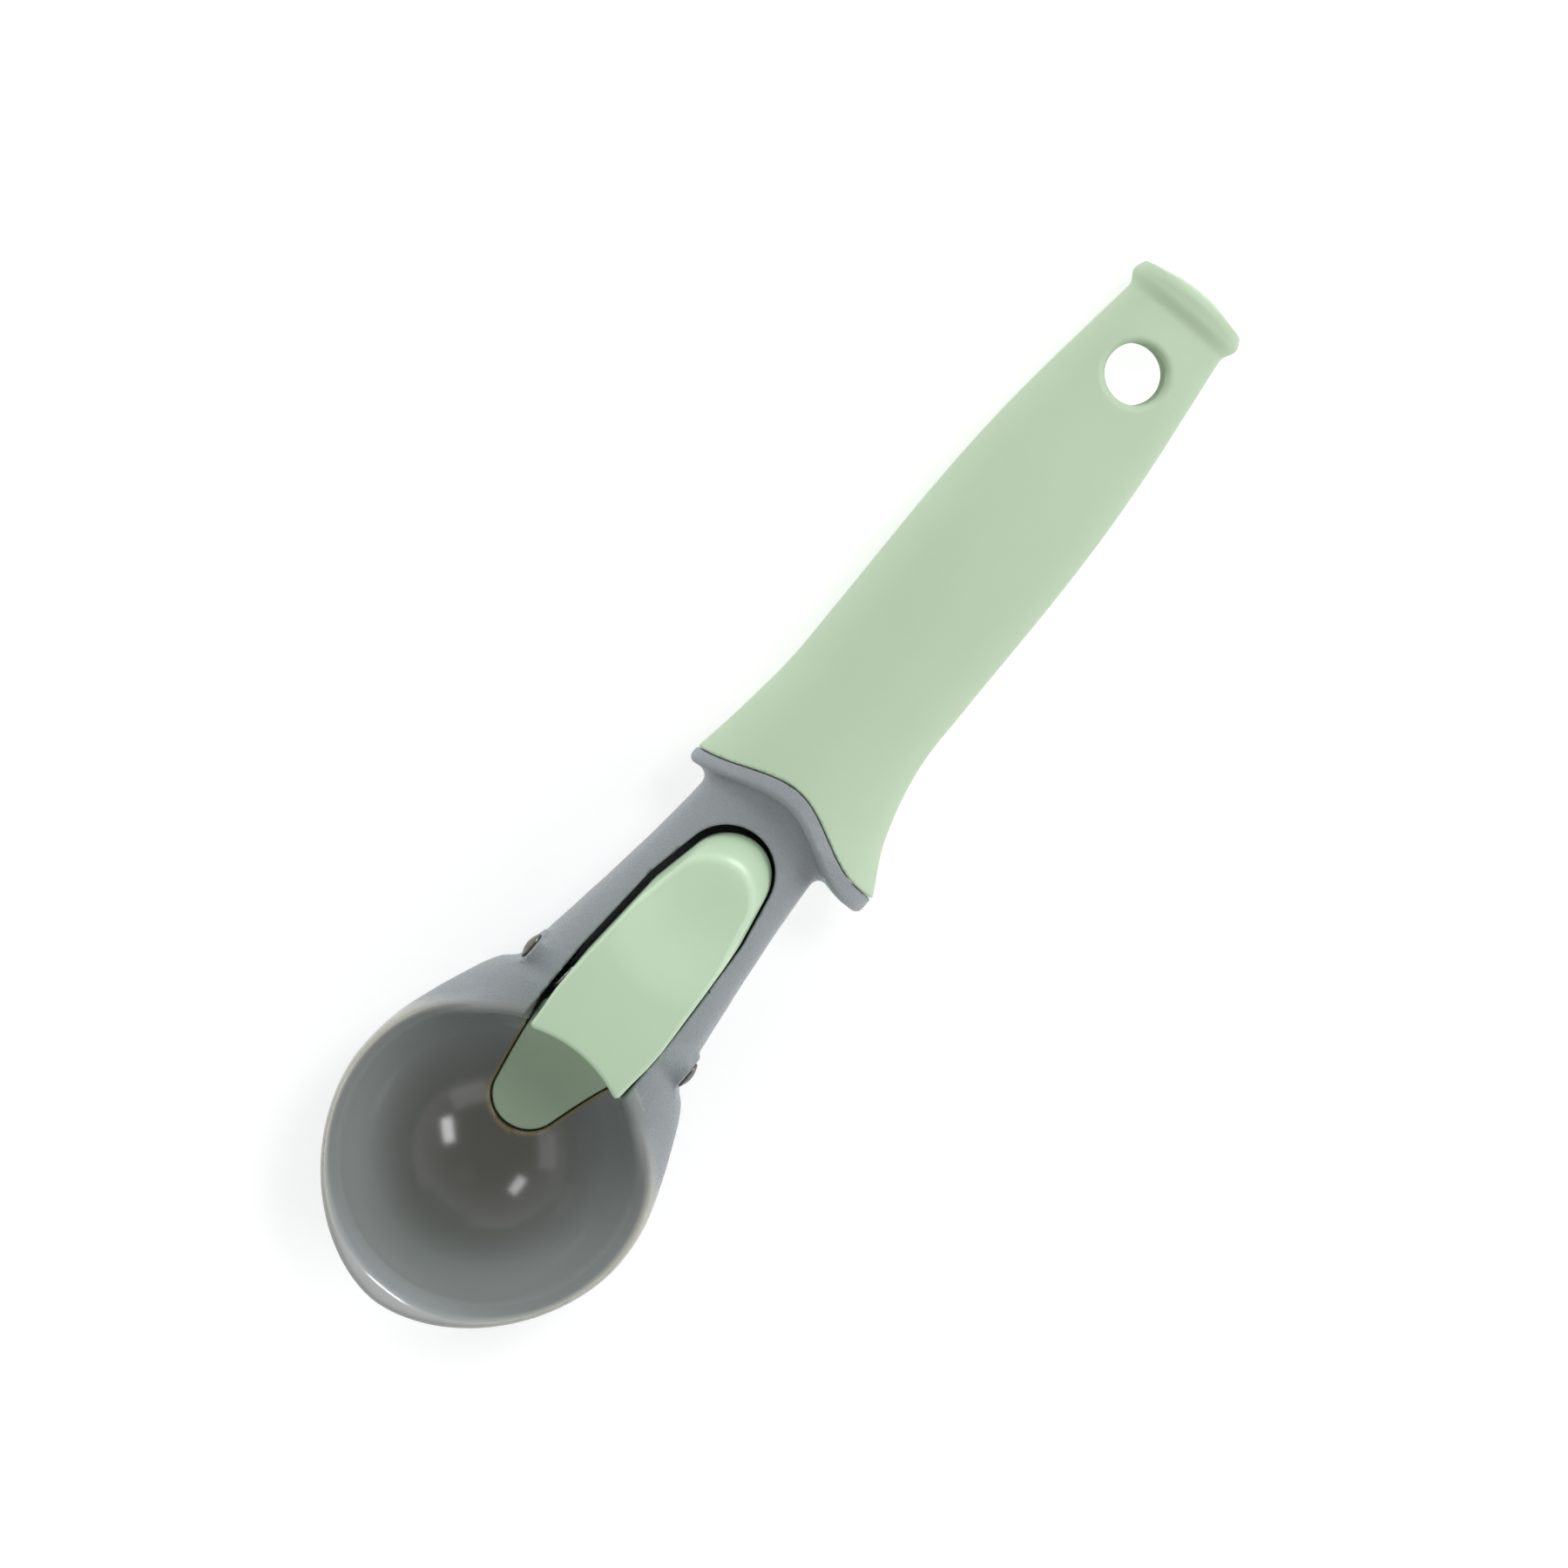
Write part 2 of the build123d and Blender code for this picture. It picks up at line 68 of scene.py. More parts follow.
# How a distance field is meshed: spare cells round it, finer cells, and the evening of its points
SPARE_CELLS = 2
FINE_SHARE = 0.6
EVENING_ROUNDS = 4
EVENING_SHARE = 0.5
PULLS_PER_ROUND = 2
LEAST_SLOPE = 1e-3
SLOPE_REACH = 0.02
NORMAL_REACH = 0.05


class Body(str, Enum):
    """The two rigid bodies of the tool."""

    SCOOP = "scoop"
    LEVER = "lever"


class Slot(str, Enum):
    """The record's material slots."""

    GREY_PLASTIC = "grey_plastic"
    SOFT_GRIP = "soft_grip"
    GREEN_PLASTIC = "green_plastic"
    STEEL = "steel"
    SPRING_STEEL = "spring_steel"


# Distance fields and the surfaces taken from them


def round_join(first: Array, second: Array, radius: Array | float) -> Array:
    """Join two solids with a fillet.

    Where both fields are under the radius, the new field is the radius less the length of the two
    shortfalls, which is a circle; elsewhere it is the smaller of the two.

    Args:
        first: Distance field of one solid, negative inside.
        second: Distance field of the other solid.
        radius: Fillet radius in millimetres.

    Returns:
        The distance field of the joined solid.
    """
    shortfall = np.hypot(np.maximum(radius - first, 0), np.maximum(radius - second, 0))
    return np.maximum(radius, np.minimum(first, second)) - shortfall


def round_meet(first: Array, second: Array, radius: Array | float) -> Array:
    """Keep what two solids share, with the edge rounded: the join of their outsides, turned round.

    Args:
        first: Distance field of one solid, negative inside.
        second: Distance field of the other solid.
        radius: Edge radius in millimetres.

    Returns:
        The distance field of the common solid.
    """
    return -round_join(-first, -second, radius)


def smooth_step(value: Array, start: float, end: float) -> Array:
    """Rise from 0 at one value to 1 at another by the cubic that is level at both ends.

    Args:
        value: Where to read the step.
        start: Value with a step of 0.
        end: Value with a step of 1.

    Returns:
        The step at each place.
    """
    t = np.clip((value - start) / (end - start), 0, 1)
    return t * t * (3 - 2 * t)


def smooth_rows(table: Array, place: Array, mirrored: bool) -> Array:
    """Read a table of even rows at any place along it, by a smooth cubic through four rows.

    Args:
        table: One row per station.
        place: Places from 0 at the first row to 1 at the last.
        mirrored: True if the rows before the first mirror those after it.

    Returns:
        One interpolated row per place.
    """
    lead = table[1] if mirrored else table[0]
    rows = np.vstack([lead, table, table[-1]])
    spans = len(table) - 1
    along = np.clip(place, 0, 1) * spans
    index = np.minimum(along.astype(int), spans - 1)
    t = (along - index)[..., None]
    a, b, c, d = (rows[index + k] for k in range(4))
    bend = 2 * a - 5 * b + 4 * c - d
    twist = 3 * b - a - 3 * c + d
    return b + ((c - a) * t + bend * t**2 + twist * t**3) / 2


def ellipse_field(
    across: Array, up: Array, half_across: Array | float, half_up: Array | float
) -> Array:
    """Distance to an ellipse, to first order: the excess of its level, over the level's slope.

    Args:
        across: Offset from the ellipse's middle, along its first axis.
        up: Offset along its second axis.
        half_across: Half-size along the first axis.
        half_up: Half-size along the second axis.

    Returns:
        The distance, negative inside.
    """
    level = np.hypot(across / half_across, up / half_up)
    slope = np.hypot(across / half_across**2, up / half_up**2)
    return level * (level - 1) / np.maximum(slope, TINY)


def capsule_field(along: Array, across: Array, length: float, near: float, far: float) -> Array:
    """Distance to the hull of two circles: to a circle beyond its tangent point, else to the line.

    Args:
        along: Place from the near circle's middle towards the far one.
        across: Offset to the side.
        length: Distance between the middles.
        near: Radius of the near circle.
        far: Radius of the far circle.

    Returns:
        The distance, negative inside.
    """
    side = np.abs(across)
    sine = (near - far) / length
    cosine = np.sqrt(1 - sine**2)
    run = cosine * along - sine * side
    line = cosine * side + sine * along - near
    ends = np.where(run < 0, np.hypot(along, side) - near, np.hypot(along - length, side) - far)
    return np.where((run < 0) | (run > cosine * length), ends, line)


def sphere_field(points: Array, centre: Place, radius: float) -> Array:
    """Distance to a sphere: distance to its centre, less the radius."""
    return np.linalg.norm(points - np.asarray(centre), axis=-1) - radius


def field_slope(field: Field, points: Array, reach: float) -> Array:
    """Slope of a field at points, by differences of a small step each way.

    Args:
        field: Distance field.
        points: Places to read it at.
        reach: The step in millimetres.

    Returns:
        The slope vector at each point.
    """
    steps = np.eye(3) * reach
    return np.stack([field(points + s) - field(points - s) for s in steps], axis=-1) / (2 * reach)


def grid_axis(low: float, high: float, cell: float, *fine: Span) -> Array:
    """Places of grid planes along one axis, closer together in the fine spans.

    Args:
        low: First place in millimetres.
        high: Last place.
        cell: Spacing.
        fine: Spans with finer spacing.

    Returns:
        The places, with cells to spare at both ends.
    """
    places = [low - SPARE_CELLS * cell]
    while places[-1] < high + SPARE_CELLS * cell:
        close = any(start <= places[-1] < end for start, end in fine)
        places.append(places[-1] + cell * (FINE_SHARE if close else 1.0))
    return np.array(places)


@dataclass(frozen=True)
class Grid:
    """Box round a piece, along X, Y and Z, the size of its cells, and each axis's finer spans."""

    box: tuple[Span, Span, Span]
    cell: float
    fine: tuple[tuple[Span, ...], ...] = ((), (), ())

    def axes(self) -> list[Array]:
        """Places of the grid's planes along each axis."""
        return [grid_axis(*span, self.cell, *fine) for span, fine in zip(self.box, self.fine)]


def level_surface(field: Field, axes: list[Array]) -> tuple[Array, Array, Array]:
    """Mesh the zero level of a distance field as an even net of quads.

    Each cell that the surface crosses gets one point, the mean of the crossings on its edges. Each
    grid edge that the surface crosses gets one quad through its four cells. Then the points are
    evened out over their neighbours and drawn back to the level along its slope.

    Args:
        field: Distance field, negative inside.
        axes: Places of the grid's planes along X, Y and Z, in millimetres.

    Returns:
        The points, the quads and the outward normals at the points.
    """
    cell = max(float(np.diff(a).max()) for a in axes)
    value = field(np.stack(np.meshgrid(*axes, indexing="ij"), axis=-1))
    inside = value < 0
    nx, ny, nz = (n - 1 for n in value.shape)
    corners = [np.array((i, j, k)) for i in (0, 1) for j in (0, 1) for k in (0, 1)]
    count = sum(inside[i : i + nx, j : j + ny, k : k + nz].astype(np.int8) for i, j, k in corners)
    cells = np.argwhere((count > 0) & (count < len(corners)))
    index = np.full((nx, ny, nz), -1)
    index[tuple(cells.T)] = np.arange(len(cells))

    total = np.zeros((len(cells), 3))
    hits = np.zeros((len(cells), 1))
    for axis in range(3):
        step = np.eye(3, dtype=int)[axis]
        for corner in (c for c in corners if c[axis] == 0):
            start = cells + corner
            first = value[tuple(start.T)]
            second = value[tuple((start + step).T)]
            crossed = ((first < 0) != (second < 0))[:, None]
            share = (first / np.where(first == second, 1, first - second))[:, None]
            total += np.where(crossed, start + share * step, 0)
            hits += crossed
    mean_place = total / hits
    columns = [np.interp(mean_place[:, k], np.arange(len(a)), a) for k, a in enumerate(axes)]
    points = np.stack(columns, axis=1)

    quads = []
    for axis in range(3):
        one, two = np.eye(3, dtype=int)[(axis + 1) % 3], np.eye(3, dtype=int)[(axis + 2) % 3]
        near = np.moveaxis(np.moveaxis(inside, axis, 0)[:-1], 0, axis)
        far = np.moveaxis(np.moveaxis(inside, axis, 0)[1:], 0, axis)
        edges = np.argwhere(near != far)
        shifts = (0 * one, one, one + two, two)
        ring = np.stack([index[tuple((edges - s).T)] for s in shifts], axis=1)
        outward = near[tuple(edges.T)][:, None]
        quads.append(np.where(outward, ring, ring[:, ::-1]))
    faces = np.concatenate(quads)

    links = np.concatenate([faces[:, (k, (k + 1) % 4)] for k in range(4)])
    degree = np.bincount(links[:, 0], minlength=len(points))[:, None]
    for _ in range(EVENING_ROUNDS):
        mean = [np.bincount(links[:, 0], points[links[:, 1], k], len(points)) for k in range(3)]
        points += EVENING_SHARE * (np.stack(mean, axis=1) / degree - points)
        for _ in range(PULLS_PER_ROUND):
            slope = field_slope(field, points, SLOPE_REACH)
            steep = np.maximum(np.linalg.norm(slope, axis=1, keepdims=True), LEAST_SLOPE)
            move = np.clip(field(points)[:, None] / steep, -cell / 2, cell / 2)
            points -= move * slope / steep
    normals = field_slope(field, points, NORMAL_REACH)
    return points, faces, normals / np.maximum(np.linalg.norm(normals, axis=1, keepdims=True), TINY)


def grid_faces(rows: int, columns: int) -> Array:
    """Quads of a grid of points that closes on itself along its columns.

    Args:
        rows: Points along the first parameter.
        columns: Points round the second parameter.

    Returns:
        One row of four point numbers per quad.
    """
    row, column = np.meshgrid(np.arange(rows - 1), np.arange(columns), indexing="ij")
    here, beside = column.ravel(), (column.ravel() + 1) % columns
    this, after = row.ravel() * columns, (row.ravel() + 1) * columns
    return np.stack([this + here, this + beside, after + beside, after + here], axis=1)


def new_piece(
    name: str, points: Array, faces: Array, normals: Array | None = None
) -> bpy.types.Object:
    """Put points and faces into a smooth-shaded mesh object at the origin.

    Args:
        name: Name of the piece.
        points: Points in millimetres.
        faces: Point numbers of each face.
        normals: Outward normals at the points, where they are known.

    Returns:
        The linked object.
    """
    mesh = bpy.data.meshes.new(name)
    mesh.from_pydata((points * MM).tolist(), [], faces.tolist())
    mesh.polygons.foreach_set("use_smooth", np.ones(len(mesh.polygons), dtype=bool))
    if normals is not None:
        mesh.normals_split_custom_set_from_vertices(normals.tolist())
    mesh.update()
    piece = bpy.data.objects.new(name, mesh)
    bpy.context.scene.collection.objects.link(piece)
    return piece


# Finishes


def srgb(code: str) -> tuple[float, float, float, float]:
    """Turn an sRGB hex colour into linear red, green, blue and full alpha.

    Args:
        code: Colour such as "#B4C9AD".

    Returns:
        The linear colour.
    """
    parts = [int(code[i : i + 2], 16) / 255 for i in (1, 3, 5)]
    linear = [p / 12.92 if p <= 0.04045 else ((p + 0.055) / 1.055) ** 2.4 for p in parts]
    return (linear[0], linear[1], linear[2], 1.0)


def per_mm(size: float) -> float:
    """Pattern scale on Object coordinates, in metres, for a feature of this size in millimetres."""
    return 1 / (size * MM)


def feed(tree: bpy.types.NodeTree, taker: bpy.types.Node, inputs: dict[Any, Any]) -> None:
    """Set a node's inputs to values, or link them to the outputs that feed them.

    Args:
        tree: Node tree that holds the node.
        taker: Node whose inputs are set.
        inputs: Input name or number to a value, or to an output.
    """
    for key, value in inputs.items():
        if isinstance(value, bpy.types.NodeSocket):
            tree.links.new(value, taker.inputs[key])
        else:
            taker.inputs[key].default_value = value


def node(
    tree: bpy.types.NodeTree, kind: str, inputs: dict[Any, Any] | None = None, **settings: Any
) -> bpy.types.Node:
    """Add a node, set its options, and set or link its inputs.

    Args:
        tree: Node tree that takes it.
        kind: Node type name.
        inputs: Input name or number to a value, or to the output that feeds it.
        **settings: Options of the node.

    Returns:
        The new node.
    """
    made = tree.nodes.new(kind)
    for name, value in settings.items():
        setattr(made, name, value)
    feed(tree, made, inputs or {})
    return made


def blank_material(name: str) -> tuple[bpy.types.Material, bpy.types.NodeTree, bpy.types.Node]:
    """Make a material with only a shader and its output.

    Args:
        name: Name of the material.

    Returns:
        The material, its node tree and the shader.
    """
    material = bpy.data.materials.new(name)
    material.use_nodes = True
    tree = material.node_tree
    tree.nodes.clear()
    shader = node(tree, "ShaderNodeBsdfPrincipled")
    node(tree, "ShaderNodeOutputMaterial", {"Surface": shader.outputs["BSDF"]})
    return material, tree, shader


@dataclass(frozen=True)
class GreyMoulding:
    """Grey ABS: spark-eroded outside, polished inside the bowl, warm at the lip, with painted light
    on the lip and painted shade towards the bowl's floor.

    The eye sees a fine sparkle on the shoulders and neck, and clear lamp reflections in the bowl.
    """

    name: str = "ABS_grey_spark_eroded"
    colour: str = "#848A8E"
    pale: str = "#8C9296"
    # The lip's pale band: partly the lip's own warmer tone, partly painted light on its bevel
    lip: str = "#B4B4AC"
    bowl: str = "#8C9191"
    # Painted shade: the bowl's colour darkens and warms towards its floor
    bowl_floor_shade: str = "#706F68"
    # Painted light and shade of the gap round the tongue, as a brownish line
    gap: str = "#968A66"
    ior: float = 1.53
    grain_mm: float = 0.28
    grain_depth_mm: float = 0.13
    grain_levels: Span = (0.35, 0.65)
    cloud_mm: float = 9.0
    rough_outside: Span = (0.22, 0.5)
    rough_bowl: float = 0.14
    bump_outside: float = 0.9
    bump_polished: float = 0.012
    # Where the masks run: out from the bowl, down to its floor (painted shade), below the deck, along
    # and across the tool (the lip's painted light)
    bowl_over: Span = (0.7, 1.6)
    floor_shade_shares: Span = (0.62, 0.98)
    lip_below: Span = (1.9, 0.6)
    lip_reach: Span = (18.0, 8.0)
    bevel_below: Span = (2.9, 2.1)
    side_lit_across: Span = (10.0, 23.0)
    side_lit_shares: Span = (0.4, 1.0)

    def build(self, bowl: Place, radius: float, deck: float) -> bpy.types.Material:
        """Make the material.

        Args:
            bowl: Middle of the bowl in millimetres.
            radius: Inside radius of the bowl.
            deck: Height of the lip.

        Returns:
            The material.
        """
        material, tree, shader = blank_material(self.name)
        place = node(tree, "ShaderNodeTexCoord").outputs["Object"]
        centre = tuple(c * MM for c in bowl)
        far = node(tree, "ShaderNodeVectorMath", {0: place, 1: centre}, operation="DISTANCE")
        axis = node(tree, "ShaderNodeSeparateXYZ", {"Vector": place}).outputs
        across = node(tree, "ShaderNodeMath", {0: axis["Y"]}, operation="ABSOLUTE").outputs[0]
        rise = (0.0, 1.0)
        ramps = {
            "bowl": (far.outputs["Value"], [radius + s for s in self.bowl_over], (1.0, 0.0)),
            "floor": (axis["Z"], [bowl[2] - radius * s for s in self.floor_shade_shares], rise),
            "lip": (axis["Z"], [deck - s for s in self.lip_below], rise),
            "ahead": (axis["X"], [bowl[0] + s for s in self.lip_reach], rise),
            "bevel": (axis["Z"], [deck - s for s in self.bevel_below], rise),
            "side_lit": (across, self.side_lit_across, self.side_lit_shares),
        }
        mask = {}
        for name, (value, (start, end), (first, last)) in ramps.items():
            span = {"From Min": start * MM, "From Max": end * MM, "To Min": first, "To Max": last}
            made = node(tree, "ShaderNodeMapRange", {"Value": value, **span})
            mask[name] = made.outputs["Result"]
        # Painted light on the lip: its pale band is strongest at the bowl's sides, where the side
        # lamps fall on it
        for name, share in (("lip", "ahead"), ("lip", "side_lit"), ("bevel", "ahead")):
            pair = {0: mask[name], 1: mask[share]}
            mask[name] = node(tree, "ShaderNodeMath", pair, operation="MULTIPLY").outputs[0]
        pair = {0: mask["bowl"], 1: mask["bevel"]}
        polished = node(tree, "ShaderNodeMath", pair, operation="MAXIMUM").outputs[0]

        # Spark erosion leaves craters of about 0.1 mm; they are drawn coarser so that they show
        craters = {"Vector": place, "Scale": per_mm(self.grain_mm), "Detail": 3.0}
        grain = node(tree, "ShaderNodeTexNoise", craters).outputs["Fac"]
        drifts = {"Vector": place, "Scale": per_mm(self.cloud_mm), "Detail": 2.0}
        cloud = node(tree, "ShaderNodeTexNoise", drifts).outputs["Fac"]
        # Painted shade: the bowl's colour grows darker and warmer towards its floor, where less light
        # reaches
        walls = {0: mask["floor"], 6: srgb(self.bowl), 7: srgb(self.bowl_floor_shade)}
        inside = node(tree, "ShaderNodeMix", walls, data_type="RGBA").outputs[2]
        gap = node(tree, "ShaderNodeAttribute", attribute_name=PAINTED_GAP_LINE).outputs["Fac"]
        tone = srgb(self.colour)
        # Over the grey go random clouds, the bowl with its painted shade, the lip's painted light,
        # and the gap's painted light and shade
        for where, over in (
            (cloud, srgb(self.pale)),
            (mask["bowl"], inside),
            (mask["lip"], srgb(self.lip)),
            (gap, srgb(self.gap)),
        ):
            layers = {0: where, 6: tone, 7: over}
            tone = node(tree, "ShaderNodeMix", layers, data_type="RGBA").outputs[2]

        low, high = self.grain_levels
        smooth, dull = self.rough_outside
        levels = {"From Min": low, "From Max": high, "To Min": smooth, "To Max": dull}
        outside = node(tree, "ShaderNodeMapRange", {"Value": grain, **levels}).outputs["Result"]
        levels = {"Value": polished, "To Min": outside, "To Max": self.rough_bowl}
        rough = node(tree, "ShaderNodeMapRange", levels).outputs["Result"]
        levels = {"Value": polished, "To Min": self.bump_outside, "To Max": self.bump_polished}
        depth = node(tree, "ShaderNodeMapRange", levels).outputs["Result"]
        relief = {"Height": grain, "Strength": depth, "Distance": self.grain_depth_mm * MM}
        bump = node(tree, "ShaderNodeBump", relief).outputs["Normal"]
        dress = {"Base Color": tone, "Roughness": rough, "Normal": bump, "IOR": self.ior}
        feed(tree, shader, dress)
        return material


@dataclass(frozen=True)
class GreenMoulding:
    """Pale green thermoplastic: a hard satin lever or a soft-touch rubbery grip.

    The eye sees a dense, even colour with faint clouds, and on the grip a dry bloom at its edges.
    """

    name: str
    colour: str
    pale: str
    roughness: float
    grain_mm: float
    grain_depth_mm: float
    ior: float
    sheen: float = 0.0
    sheen_roughness: float = 0.45
    sheen_tint: str = "#E4EEDD"
    cloud_mm: float = 14.0
    grain_levels: Span = (0.3, 0.7)
    rough_spread: float = 0.04
    bump: float = 0.4

    def build(self) -> bpy.types.Material:
        """Make the material.

        Returns:
            The material.
        """
        material, tree, shader = blank_material(self.name)
        place = node(tree, "ShaderNodeTexCoord").outputs["Object"]
        drifts = {"Vector": place, "Scale": per_mm(self.cloud_mm), "Detail": 3.0}
        cloud = node(tree, "ShaderNodeTexNoise", drifts).outputs["Fac"]
        # The mould's fine grain is drawn coarser than it is, so that it shows
        pores = {"Vector": place, "Scale": per_mm(self.grain_mm), "Detail": 2.0}
        grain = node(tree, "ShaderNodeTexNoise", pores).outputs["Fac"]
        colours = {0: cloud, 6: srgb(self.colour), 7: srgb(self.pale)}
        low, high = self.grain_levels
        smooth, dull = self.roughness - self.rough_spread, self.roughness + self.rough_spread
        levels = {"From Min": low, "From Max": high, "To Min": smooth, "To Max": dull}
        rough = node(tree, "ShaderNodeMapRange", {"Value": grain, **levels})
        relief = {"Height": grain, "Strength": self.bump, "Distance": self.grain_depth_mm * MM}
        dress = {
            "Base Color": node(tree, "ShaderNodeMix", colours, data_type="RGBA").outputs[2],
            "Roughness": rough.outputs["Result"],
            "Normal": node(tree, "ShaderNodeBump", relief).outputs["Normal"],
            "IOR": self.ior,
            "Sheen Weight": self.sheen,
            "Sheen Roughness": self.sheen_roughness,
            "Sheen Tint": srgb(self.sheen_tint),
        }
        feed(tree, shader, dress)
        return material


@dataclass(frozen=True)
class Metal:
    """Plain metal with fine drawing or tumbling marks.

    The eye sees a grey mirror, blurred by the marks and a little uneven.
    """

    name: str
    colour: str
    roughness: float
    mark_mm: float
    mark_depth_mm: float = 0.03
    mark_levels: Span = (0.3, 0.7)
    smoother: float = 0.08
    duller: float = 0.1
    bump: float = 0.25

    def build(self) -> bpy.types.Material:
        """Make the material.

        Returns:
            The material.
        """
        material, tree, shader = blank_material(self.name)
        place = node(tree, "ShaderNodeTexCoord").outputs["Object"]
        # The marks are drawn coarser than they are, so that they show
        scratches = {"Vector": place, "Scale": per_mm(self.mark_mm), "Detail": 3.0}
        marks = node(tree, "ShaderNodeTexNoise", scratches).outputs["Fac"]
        low, high = self.mark_levels
        smooth, dull = self.roughness - self.smoother, self.roughness + self.duller
        levels = {"From Min": low, "From Max": high, "To Min": smooth, "To Max": dull}
        rough = node(tree, "ShaderNodeMapRange", {"Value": marks, **levels})
        relief = {"Height": marks, "Strength": self.bump, "Distance": self.mark_depth_mm * MM}
        dress = {
            "Base Color": srgb(self.colour),
            "Metallic": 1.0,
            "Roughness": rough.outputs["Result"],
            "Normal": node(tree, "ShaderNodeBump", relief).outputs["Normal"],
        }
        feed(tree, shader, dress)
        return material


# Sub-assemblies


# Even rows of the handle: half-width, half-height and sideways shift
HANDLE_SHARES = np.array(
    [
        (1.46, 1.12, 1.35),
        (1.175, 1.08, 0.42),
        (1.01, 1.04, 0.04),
        (0.992, 1.01, 0.0),
        (0.996, 0.99, 0.0),
        (0.993, 0.955, 0.0),
        (0.962, 0.87, 0.0),
        (0.888, 0.76, 0.0),
        (0.782, 0.64, 0.0),
        (0.683, 0.48, 0.0),
    ]
)

# Even rows of the pear behind the bowl's middle: middle, lower and upper height
PEAR_SHARES = np.array(
    [
        (1.0, 1.0, 1.0),
        (0.96, 0.928, 0.56),
        (0.833, 0.717, 0.335),
        (0.717, 0.502, 0.46),
        (0.717, 0.462, 0.478),
        (0.729, 0.45, 0.478),
        (0.745, 0.442, 0.458),
        (0.765, 0.434, 0.446),
        (0.777, 0.426, 0.438),
    ]
)

# Half-widths of the pear at closer even rows: full shoulders, a short step, and the neck's flank
PEAR_WIDTH_SHARES = np.array(
    [1.0, 0.998, 0.99, 0.976, 0.955, 0.927, 0.895, 0.862, 0.825, 0.787, 0.746, 0.69]
    + [0.598, 0.592, 0.587, 0.577, 0.564]
    + [0.552, 0.541, 0.528, 0.516, 0.506, 0.496, 0.485, 0.475]
    + [0.467, 0.459, 0.452, 0.446, 0.442, 0.439, 0.437, 0.436]
)


@dataclass(frozen=True)
class Layout:
    """Places that more than one piece shares."""

    bowl_x: float = -70.1
    bowl_z: float = 25.4
    bowl_radius: float = 22.8
    deck: float = 26.5
    pivot_x: float = -42.1
    pivot_z: float = 21.5
    pin_half_span: float = 14.89
    slot_wide: float = 9.65
    slot_wide_reach: float = 33.0
    slot_mid: float = 8.85
    slot_mid_reach: float = 47.0
    slot_end: float = 7.35
    slot_end_reach: float = 54.8
    tongue_tip: float = 5.5
    tongue_tip_reach: float = 9.8
    tongue_root: float = 8.6
    tongue_length: float = 13.7
    tongue_set_back: float = 1.75
    wave_half_width: float = 16.2
    collar_reach: float = 62.0
    end_x: float = 97.5
    hole_x: float = 81.3
    handle_length: float = 103.3
    handle_half_width: float = 12.6
    handle_half_height: float = 10.2
    handle_shift: float = 2.1
    axis_start_z: float = 19.5
    axis_end_z: float = 6.6

    def bowl_middle(self, set_back: float = 0.0) -> Place:
        """Middle of the bowl's sphere, or of one set back towards the neck."""
        return (self.bowl_x + set_back, 0.0, self.bowl_z)

    def slot(self, x: Array, y: Array) -> Array:
        """Plan distance to the slot: hulls of its circles two by two, and straight sides ahead.

        Args:
            x: Places along the tool.
            y: Places across it.

        Returns:
            The distance, negative inside.
        """
        wide, mid, end = self.slot_wide_reach, self.slot_mid_reach, self.slot_end_reach
        reach = x - self.bowl_x
        front = capsule_field(reach - wide, y, mid - wide, self.slot_wide, self.slot_mid)
        rear = capsule_field(reach - mid, y, end - mid, self.slot_mid, self.slot_end)
        ahead = np.maximum(np.abs(y) - self.slot_wide, -reach)
        return np.minimum(np.where(reach < wide, ahead, front), rear)

    def tongue(self, x: Array, y: Array, ahead: float = 0.0, beside: float = 0.0) -> Array:
        """Plan distance to the tongue: the hull of a small circle at its tip and a wide one behind.

        Args:
            x: Places along the tool.
            y: Places across it.
            ahead: How much further the tip reaches, for the tongue's pocket.
            beside: How much wider the hull is.

        Returns:
            The distance, negative inside.
        """
        along = x - self.bowl_x - self.tongue_tip_reach + ahead
        length = self.tongue_length + ahead
        return capsule_field(along, y, length, self.tongue_tip + beside, self.tongue_root + beside)

    def wave(self, y: Array, left: float, right: float, apex: float) -> Array:
        """Place along X of a wave that runs from both wings back to its apex by a smooth step."""
        side = np.where(y > 0, left, right)
        return self.bowl_x + apex + (side - apex) * smooth_step(np.abs(y), 0.0, self.wave_half_width)

    def handle(self, points: Array, from_reach: float = 0.0) -> Array:
        """Distance to the handle's skin: an ellipse whose half-sizes and middle follow its rows.

        Args:
            points: Places in the tool's frame.
            from_reach: Reach ahead of which the skin keeps its shape.

        Returns:
            The distance, negative inside.
        """
        x, y, z = np.moveaxis(points, -1, 0)
        start = self.bowl_x + self.collar_reach
        along = np.maximum(x, self.bowl_x + from_reach) - start
        rows = smooth_rows(HANDLE_SHARES, along / self.handle_length, False)
        fall = (self.axis_end_z - self.axis_start_z) * along / (self.end_x - start)
        return ellipse_field(
            y + self.handle_shift * rows[..., 2],
            z - (self.axis_start_z + fall),
            self.handle_half_width * rows[..., 0],
            self.handle_half_height * rows[..., 1],
        )


